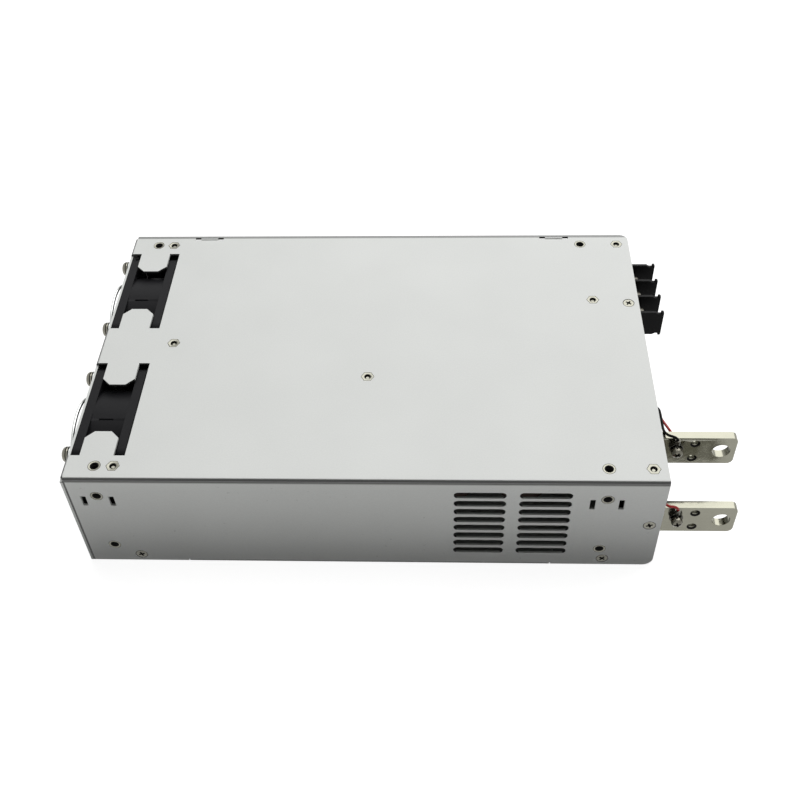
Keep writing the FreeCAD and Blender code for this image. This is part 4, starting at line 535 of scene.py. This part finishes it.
def screw_head(profile, span, width, depth, lift, shank, length, pitch):
    """Turned head with a cross recess, on a threaded shank that points along -z; painted shade
    lies in the recess, in the groove near the head's base and under a countersunk head.
    """
    mesh = bmesh.new()
    rings = lathe(mesh, profile)
    mesh.faces.new(rings[0])
    mesh.faces.new(rings[-1])
    bmesh.ops.recalc_face_normals(mesh, faces=mesh.faces)
    data = cut_with(to_data(mesh, "head"), cross_cutter(span, width, depth), lift)
    mesh = bmesh.new()
    mesh.from_mesh(data)
    for face in mesh.faces:
        middle = face.calc_center_median()
        near, far = sorted((abs(middle.x), abs(middle.y)))
        # Painted shade in the cross recess, under a countersunk head and in a pan head's groove.
        inside = near < 0.53 * width and far < 0.54 * span and middle.z < lift - 0.1
        rim = profile[0][1] < 0 and middle.z < profile[2][1] - 0.05
        groove = 0.6 < middle.z < 1.1 and middle.xy.length < profile[0][0]
        face.material_index = PAINTED_SHADE_SLOT if rim or inside or groove else FACE
    low = profile[0][1] - length
    lathe(mesh, ((0.01, low), (shank * 0.8, low), (shank * 0.86, low + 0.4),
                 (shank * 0.86, profile[0][1] + 0.1)), 24)
    thread(mesh, shank * 0.85, shank, pitch, low + 0.2, profile[0][1])
    return to_data(mesh, "screw")


def nut_face(outer, bore, depth, sides):
    """Chamfered press-in nut, or hexagon face with a screw's end in its bore; painted shade on
    its outer chamfer and side, in its bore and on its thread.
    """
    mesh = bmesh.new()
    steps = 48
    wall = []
    for reach, height in ((1.0, -depth), (1.0, -0.25), (0.93, 0.0)):
        ring = []
        for step in range(steps):
            radius = outer * reach
            if sides:
                part = (2 * math.pi * step / steps % (2 * math.pi / sides)) - math.pi / sides
                radius *= math.cos(math.pi / sides) / math.cos(part)
            ring.append(circle_point(mesh, radius, step, steps, height))
        wall.append(ring)
    for reach, height in ((1.34, 0.0), (1.26, -0.06), (1.02, -0.6), (1.02, -depth)):
        wall.append([circle_point(mesh, bore * reach, step, steps, height)
                     for step in range(steps)])
    # Painted shade on the outer chamfer and side, and in the bore.
    slots = (PAINTED_SHADE_SLOT, PAINTED_SHADE_SLOT, FACE, FACE, PAINTED_SHADE_SLOT, PAINTED_SHADE_SLOT)
    for slot, lower, upper in zip(slots, wall, wall[1:]):
        bridge(mesh, lower, upper, slot)
    bridge(mesh, wall[-1], wall[0])
    thread(mesh, bore, bore * 0.84, 0.5 if bore < 1.5 else 0.7, -depth, -0.5, PAINTED_SHADE_SLOT)
    if sides:
        tip = lathe(mesh, ((bore * 0.82, -depth), (bore * 0.82, -1.25), (bore * 0.6, -0.95)), 24)
        mesh.faces.new(tip[-1])
    return to_data(mesh, "nut")


TURNS = {"+z": Matrix.Identity(4), "-y": Matrix.Rotation(math.pi / 2, 4, "X"),
         "+y": Matrix.Rotation(-math.pi / 2, 4, "X"), "-x": Matrix.Rotation(-math.pi / 2, 4, "Y"),
         "+x": Matrix.Rotation(math.pi / 2, 4, "Y")}


def outer_point(low, high, facing, inset=0.0):
    """Middle of a box's face that looks the given way, moved in by inset metres."""
    point = (low + high) / 2
    axis = "xyz".index(facing[1])
    if facing[0] == "+":
        point[axis] = high[axis] - inset
    else:
        point[axis] = low[axis] + inset
    return point


SMOOTH_ANGLE = 35.0


def gather(name, node, copies, material):
    """One piece of turned copies of small meshes in place of a node, with painted shade in its
    hollows.
    """
    mesh = bmesh.new()
    for data, point, facing, spin in copies:
        work = bmesh.new()
        work.from_mesh(data)
        turn = (Matrix.Translation(point) @ TURNS[facing]
                @ Matrix.Rotation(math.radians(spin), 4, "Z") @ Matrix.Scale(MM, 4))
        work.transform(turn)
        mesh.from_mesh(to_data(work, "part"))
    finish_piece(bpy.data.objects.new(name, to_data(mesh, name)), material, node)


def finish_piece(piece, material, node):
    """Materials, the second being painted shade for hollows, smooth shading and the carried-over
    part that the piece stands for.
    """
    scene.collection.objects.link(piece)
    for finish in (material, hollow_shade):
        piece.data.materials.append(finish)
    for face in piece.data.polygons:
        face.use_smooth = True
    piece.data.set_sharp_from_angle(angle=math.radians(SMOOTH_ANGLE))
    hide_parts(node)
    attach(piece, body_of[node])


def tapped(data, taps):
    """A bar's mesh with chamfered mouths given painted shade, and threads in its tapped holes."""
    cutter = bmesh.new()
    for x, y_front, y_back, z in taps:
        for y, way in ((y_front, 1), (y_back, -1)):
            rings = []
            for radius, depth in ((0.0027, -0.0003), (0.0014, 0.001)):
                rings.append([cutter.verts.new((x + radius * math.cos(math.pi * step / 16),
                                                y + way * depth,
                                                z + radius * math.sin(math.pi * step / 16)))
                              for step in range(32)])
            for step in range(32):
                after = (step + 1) % 32
                cutter.faces.new((rings[0][step], rings[0][after], rings[1][after],
                                  rings[1][step]))
            cutter.faces.new(rings[0])
            cutter.faces.new(rings[1])
    bmesh.ops.recalc_face_normals(cutter, faces=cutter.faces)
    mesh = bmesh.new()
    mesh.from_mesh(cut_with(data, cutter, 0.0))
    # Painted shade on the chamfered mouths of the tapped holes.
    for x, y_front, y_back, z in taps:
        for face in mesh.faces:
            middle = face.calc_center_median()
            if (math.hypot(middle.x - x, middle.z - z) < 0.0026
                    and 0.2 < abs(face.normal.y) < 0.98):
                face.material_index = PAINTED_SHADE_SLOT
        work = bmesh.new()
        thread(work, 1.64, 1.35, 0.7, 0.6, (y_back - y_front) / MM - 0.6)
        work.transform(Matrix.Translation((x, y_front, z)) @ TURNS["+y"] @ Matrix.Scale(MM, 4))
        mesh.from_mesh(to_data(work, "part"))
    return to_data(mesh, "bar")


BAR_THICKNESS = 0.0042


def tap_places(name):
    """Tapped holes of an output bar, as (x, front, back, z) in metres."""
    mount = [item for item in frame["record"]["mounts"] if item["name"] == name][0]
    x, y, z = mount["pos_m"]
    half = mount["dims"]["spacing_y_mm"] / 2000
    return [(x, y, y + BAR_THICKNESS, z + step) for step in (-half, half)]


def softened(name, node, material, width, taps=()):
    """Copy of a part's shape with small rounded edges, in place of the node."""
    mesh = bmesh.new()
    mesh.from_mesh(nodes[node].data)
    bmesh.ops.remove_doubles(mesh, verts=mesh.verts, dist=2e-6)
    bmesh.ops.dissolve_limit(mesh, angle_limit=math.radians(0.6), verts=mesh.verts,
                             edges=mesh.edges)
    data = to_data(mesh, name)
    if taps:
        data = tapped(data, taps)
    piece = bpy.data.objects.new(name, data)
    modifier = piece.modifiers.new("edges", "BEVEL")
    modifier.width = width
    modifier.segments = 2
    modifier.limit_method = "ANGLE"
    modifier.angle_limit = math.radians(60 if taps else 40)
    modifier.harden_normals = True
    finish_piece(piece, material, node)


body_of = {}
for body_name, members in frame["record"]["behaviour"]["bodies"].items():
    for member in members:
        body_of[member] = body_name


# Nuts, standoffs and screws

m4_nut = nut_face(outer=3.05, bore=1.65, depth=3.4, sides=0)
hexagon = nut_face(outer=3.35, bore=1.3, depth=3.0, sides=6)
for name, node, facing in (("nuts_base", "base_mounting_nuts", "+z"),
                           ("nuts_front", "front_side_nuts", "-y"),
                           ("nuts_back", "back_side_nuts", "+y")):
    gather(name, node, [(m4_nut, outer_point(low, high, facing), facing, 0)
                        for low, high in islands(node)], plated)
gather("standoffs", "board_standoffs", [(hexagon, outer_point(low, high, "+z"), "+z", 0)
                                        for low, high in islands("board_standoffs")], plated)

FLAT_PROFILE = ((1.5, -1.3), (2.98, -0.5), (2.68, -0.1), (2.0, -0.02), (0.6, 0.0))
PAN_PROFILE = ((3.86, 0.0), (3.9, 0.15), (3.86, 0.6), (3.4, 0.7), (3.4, 1.0), (3.86, 1.1),
               (3.8, 1.6), (3.5, 2.3), (2.8, 2.85), (1.8, 3.1), (0.5, 3.2))
TERMINAL_PROFILE = ((3.85, 0.0), (3.9, 0.2), (3.86, 1.8), (3.5, 2.5), (2.6, 2.9), (0.5, 3.0))
SENSE_PROFILE = ((2.7, 0.0), (2.75, 0.2), (2.7, 1.5), (2.4, 2.3), (1.7, 2.8), (0.4, 3.0))
flat_head = screw_head(FLAT_PROFILE, span=3.7, width=1.1, depth=1.1, lift=0.0, shank=1.5,
                       length=4.4, pitch=0.5)
pan_head = screw_head(PAN_PROFILE, span=4.6, width=1.3, depth=2.0, lift=3.2, shank=1.9,
                      length=8.6, pitch=0.7)
terminal_head = screw_head(TERMINAL_PROFILE, span=4.8, width=1.3, depth=1.9, lift=2.9,
                           shank=1.9, length=9.0, pitch=0.7)
sense_head = screw_head(SENSE_PROFILE, span=3.5, width=1.0, depth=1.7, lift=2.9, shank=1.45,
                        length=8.3, pitch=0.5)


def facing_of(low, high):
    """Outer face of the case that a screw head lies in."""
    if high.z > HEIGHT - 0.0001:
        return "+z"
    return "-y" if low.y < 0.0001 - HALF_WIDTH else "+y"


for name, node, material in (("screws_cover", "cover_screws", low_plated),
                             ("screws_panel", "panel_screws", plated)):
    gather(name, node, [(flat_head, outer_point(low, high, facing_of(low, high)),
                         facing_of(low, high), 20 + 33 * index)
                        for index, (low, high) in enumerate(islands(node))], material)
for name, node, head, facing, inset, material in (
        ("screws_fan", "fan_screws", pan_head, "-x", 0.0032, bright),
        ("screws_terminal", "terminal_screws", terminal_head, "+x", 0.003, shaded_steel),
        ("screws_sense", "sense_screws", sense_head, "-y", 0.003, dull)):
    gather(name, node, [(head, outer_point(low, high, facing, inset), facing, 15 + 47 * index)
                        for index, (low, high) in enumerate(islands(node))], material)


def washer_ring(outer, inner, thick):
    """Flat washer with small chamfers that fills the space above z = 0."""
    mesh = bmesh.new()
    edge = 0.18
    profile = ((inner, edge), (inner, thick - edge), (inner + edge, thick),
               (outer - edge, thick), (outer, thick - edge), (outer, edge), (outer - edge, 0),
               (inner + edge, 0), (inner, edge))
    lathe(mesh, profile)
    return to_data(mesh, "washer")


SPRING_RISE = 0.16


def split_ring(outer, inner, thick):
    """Split spring washer whose slanted ends stand a little apart."""
    mesh = bmesh.new()
    steps = 40
    rings = []
    for step in range(steps + 1):
        turn = math.radians(8 + 344 * step / steps)
        rise = SPRING_RISE * step / steps
        ring = []
        for radius, height in ((inner, 0.0), (outer, 0.0), (outer, thick - SPRING_RISE),
                               (inner, thick - SPRING_RISE)):
            lean = SPRING_RISE * height / thick
            ring.append(mesh.verts.new((radius * math.cos(turn + lean),
                                        radius * math.sin(turn + lean), height + rise)))
        rings.append(ring)
    for first, second in zip(rings, rings[1:]):
        for corner in range(4):
            after = (corner + 1) % 4
            mesh.faces.new((first[corner], second[corner], second[after], first[after]))
    mesh.faces.new(rings[0])
    mesh.faces.new(list(reversed(rings[-1])))
    bmesh.ops.recalc_face_normals(mesh, faces=mesh.faces)
    return to_data(mesh, "spring")


flat_ring = washer_ring(outer=3.3, inner=1.55, thick=0.9)
spring_ring = split_ring(outer=2.8, inner=1.55, thick=1.1)
FLAT_RING_FROM = 0.0062  # width in metres above which a washer is the flat one
stack = []
for low, high in islands("sense_washers"):
    wide = high.x - low.x > FLAT_RING_FROM
    stack.append((flat_ring if wide else spring_ring,
                  outer_point(low, high, "-y", high.y - low.y), "-y", 0 if wide else 75))
gather("washers_sense", "sense_washers", stack, dark_metal)


# Rounded edges on the larger parts

softened("lugs", "sense_lugs", dark_metal, 0.00018)
softened("bar_front", "output_bar_front", nickel, 0.0003, taps=tap_places("front_bar_taps"))
softened("bar_rear", "output_bar_rear", nickel, 0.0003, taps=tap_places("rear_bar_taps"))
softened("block", "terminal_block", black, 0.0002)
softened("clamps", "terminal_clamps", shaded_steel, 0.0001)
softened("bushes", "bar_bushes", nylon, 0.0003)
softened("header", "signal_header", nylon, 0.0002)
softened("plug", "signal_plug", nylon, 0.0003)
for side in ("near", "far"):
    softened("frame_" + side, "fan_frame_" + side, fan_black, 0.0003)
    softened("spider_" + side, "fan_spider_" + side, fan_black, 0.0002)
    softened("rotor_" + side, "fan_rotor_" + side, fan_black, 0.0002)


# Sense leads, on routes in millimetres

LEAD_DIAMETER = 0.0013
BLACK_ROUTE = ((142.2, -25.6, 45.4), (143.6, -28.4, 47.4), (143.4, -34.0, 49.4),
               (143.2, -40.0, 50.0), (142.9, -45.4, 51.2), (142.8, -49.8, 53.4),
               (144.2, -52.6, 54.4), (146.5, -53.6, 54.6), (148.05, -53.8, 53.65),
               (148.9, -53.85, 52.1), (148.9, -53.8, 50.6))
RED_ROUTE = ((142.2, -28.4, 45.5), (143.4, -31.6, 46.6), (143.9, -36.2, 47.8),
             (146.2, -41.5, 47.8), (148.4, -44.9, 46.2), (147.8, -45.4, 40.0),
             (146.0, -46.6, 31.0), (143.8, -56.0, 29.6), (142.8, -65.0, 30.4),
             (142.6, -72.0, 30.9), (142.8, -75.4, 31.2), (144.3, -77.6, 31.7),
             (146.6, -78.0, 32.2), (148.05, -78.15, 31.4), (148.9, -78.15, 29.95),
             (148.9, -78.1, 29.0))


def make_lead(name, node, material, route):
    """Thin insulated lead on one smooth curve from the plug to its lug."""
    data = bpy.data.curves.new(name, "CURVE")
    data.dimensions = "3D"
    data.bevel_depth = LEAD_DIAMETER / 2
    data.bevel_resolution = 6
    data.resolution_u = 12
    data.use_fill_caps = True
    spline = data.splines.new("NURBS")
    spline.points.add(len(route) - 1)
    for point, (x, y, z) in zip(spline.points, route):
        point.co = (x / 1000, y / 1000, z / 1000, 1.0)
    spline.use_endpoint_u = True
    spline.order_u = 3
    lead = bpy.data.objects.new(name, data)
    scene.collection.objects.link(lead)
    data.materials.append(material)
    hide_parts(node)
    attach(lead, "housing")


black_lead = speckled("black_lead", "090909", 0.0, 0.5, scale=900.0, spread=0.1, specular=0.05)
red_lead = speckled("red_lead", "9a1512", 0.0, 0.35, scale=900.0, spread=0.1, specular=0.4)
make_lead("lead_black", "sense_lead_black", black_lead, BLACK_ROUTE)
make_lead("lead_red", "sense_lead_red", red_lead, RED_ROUTE)
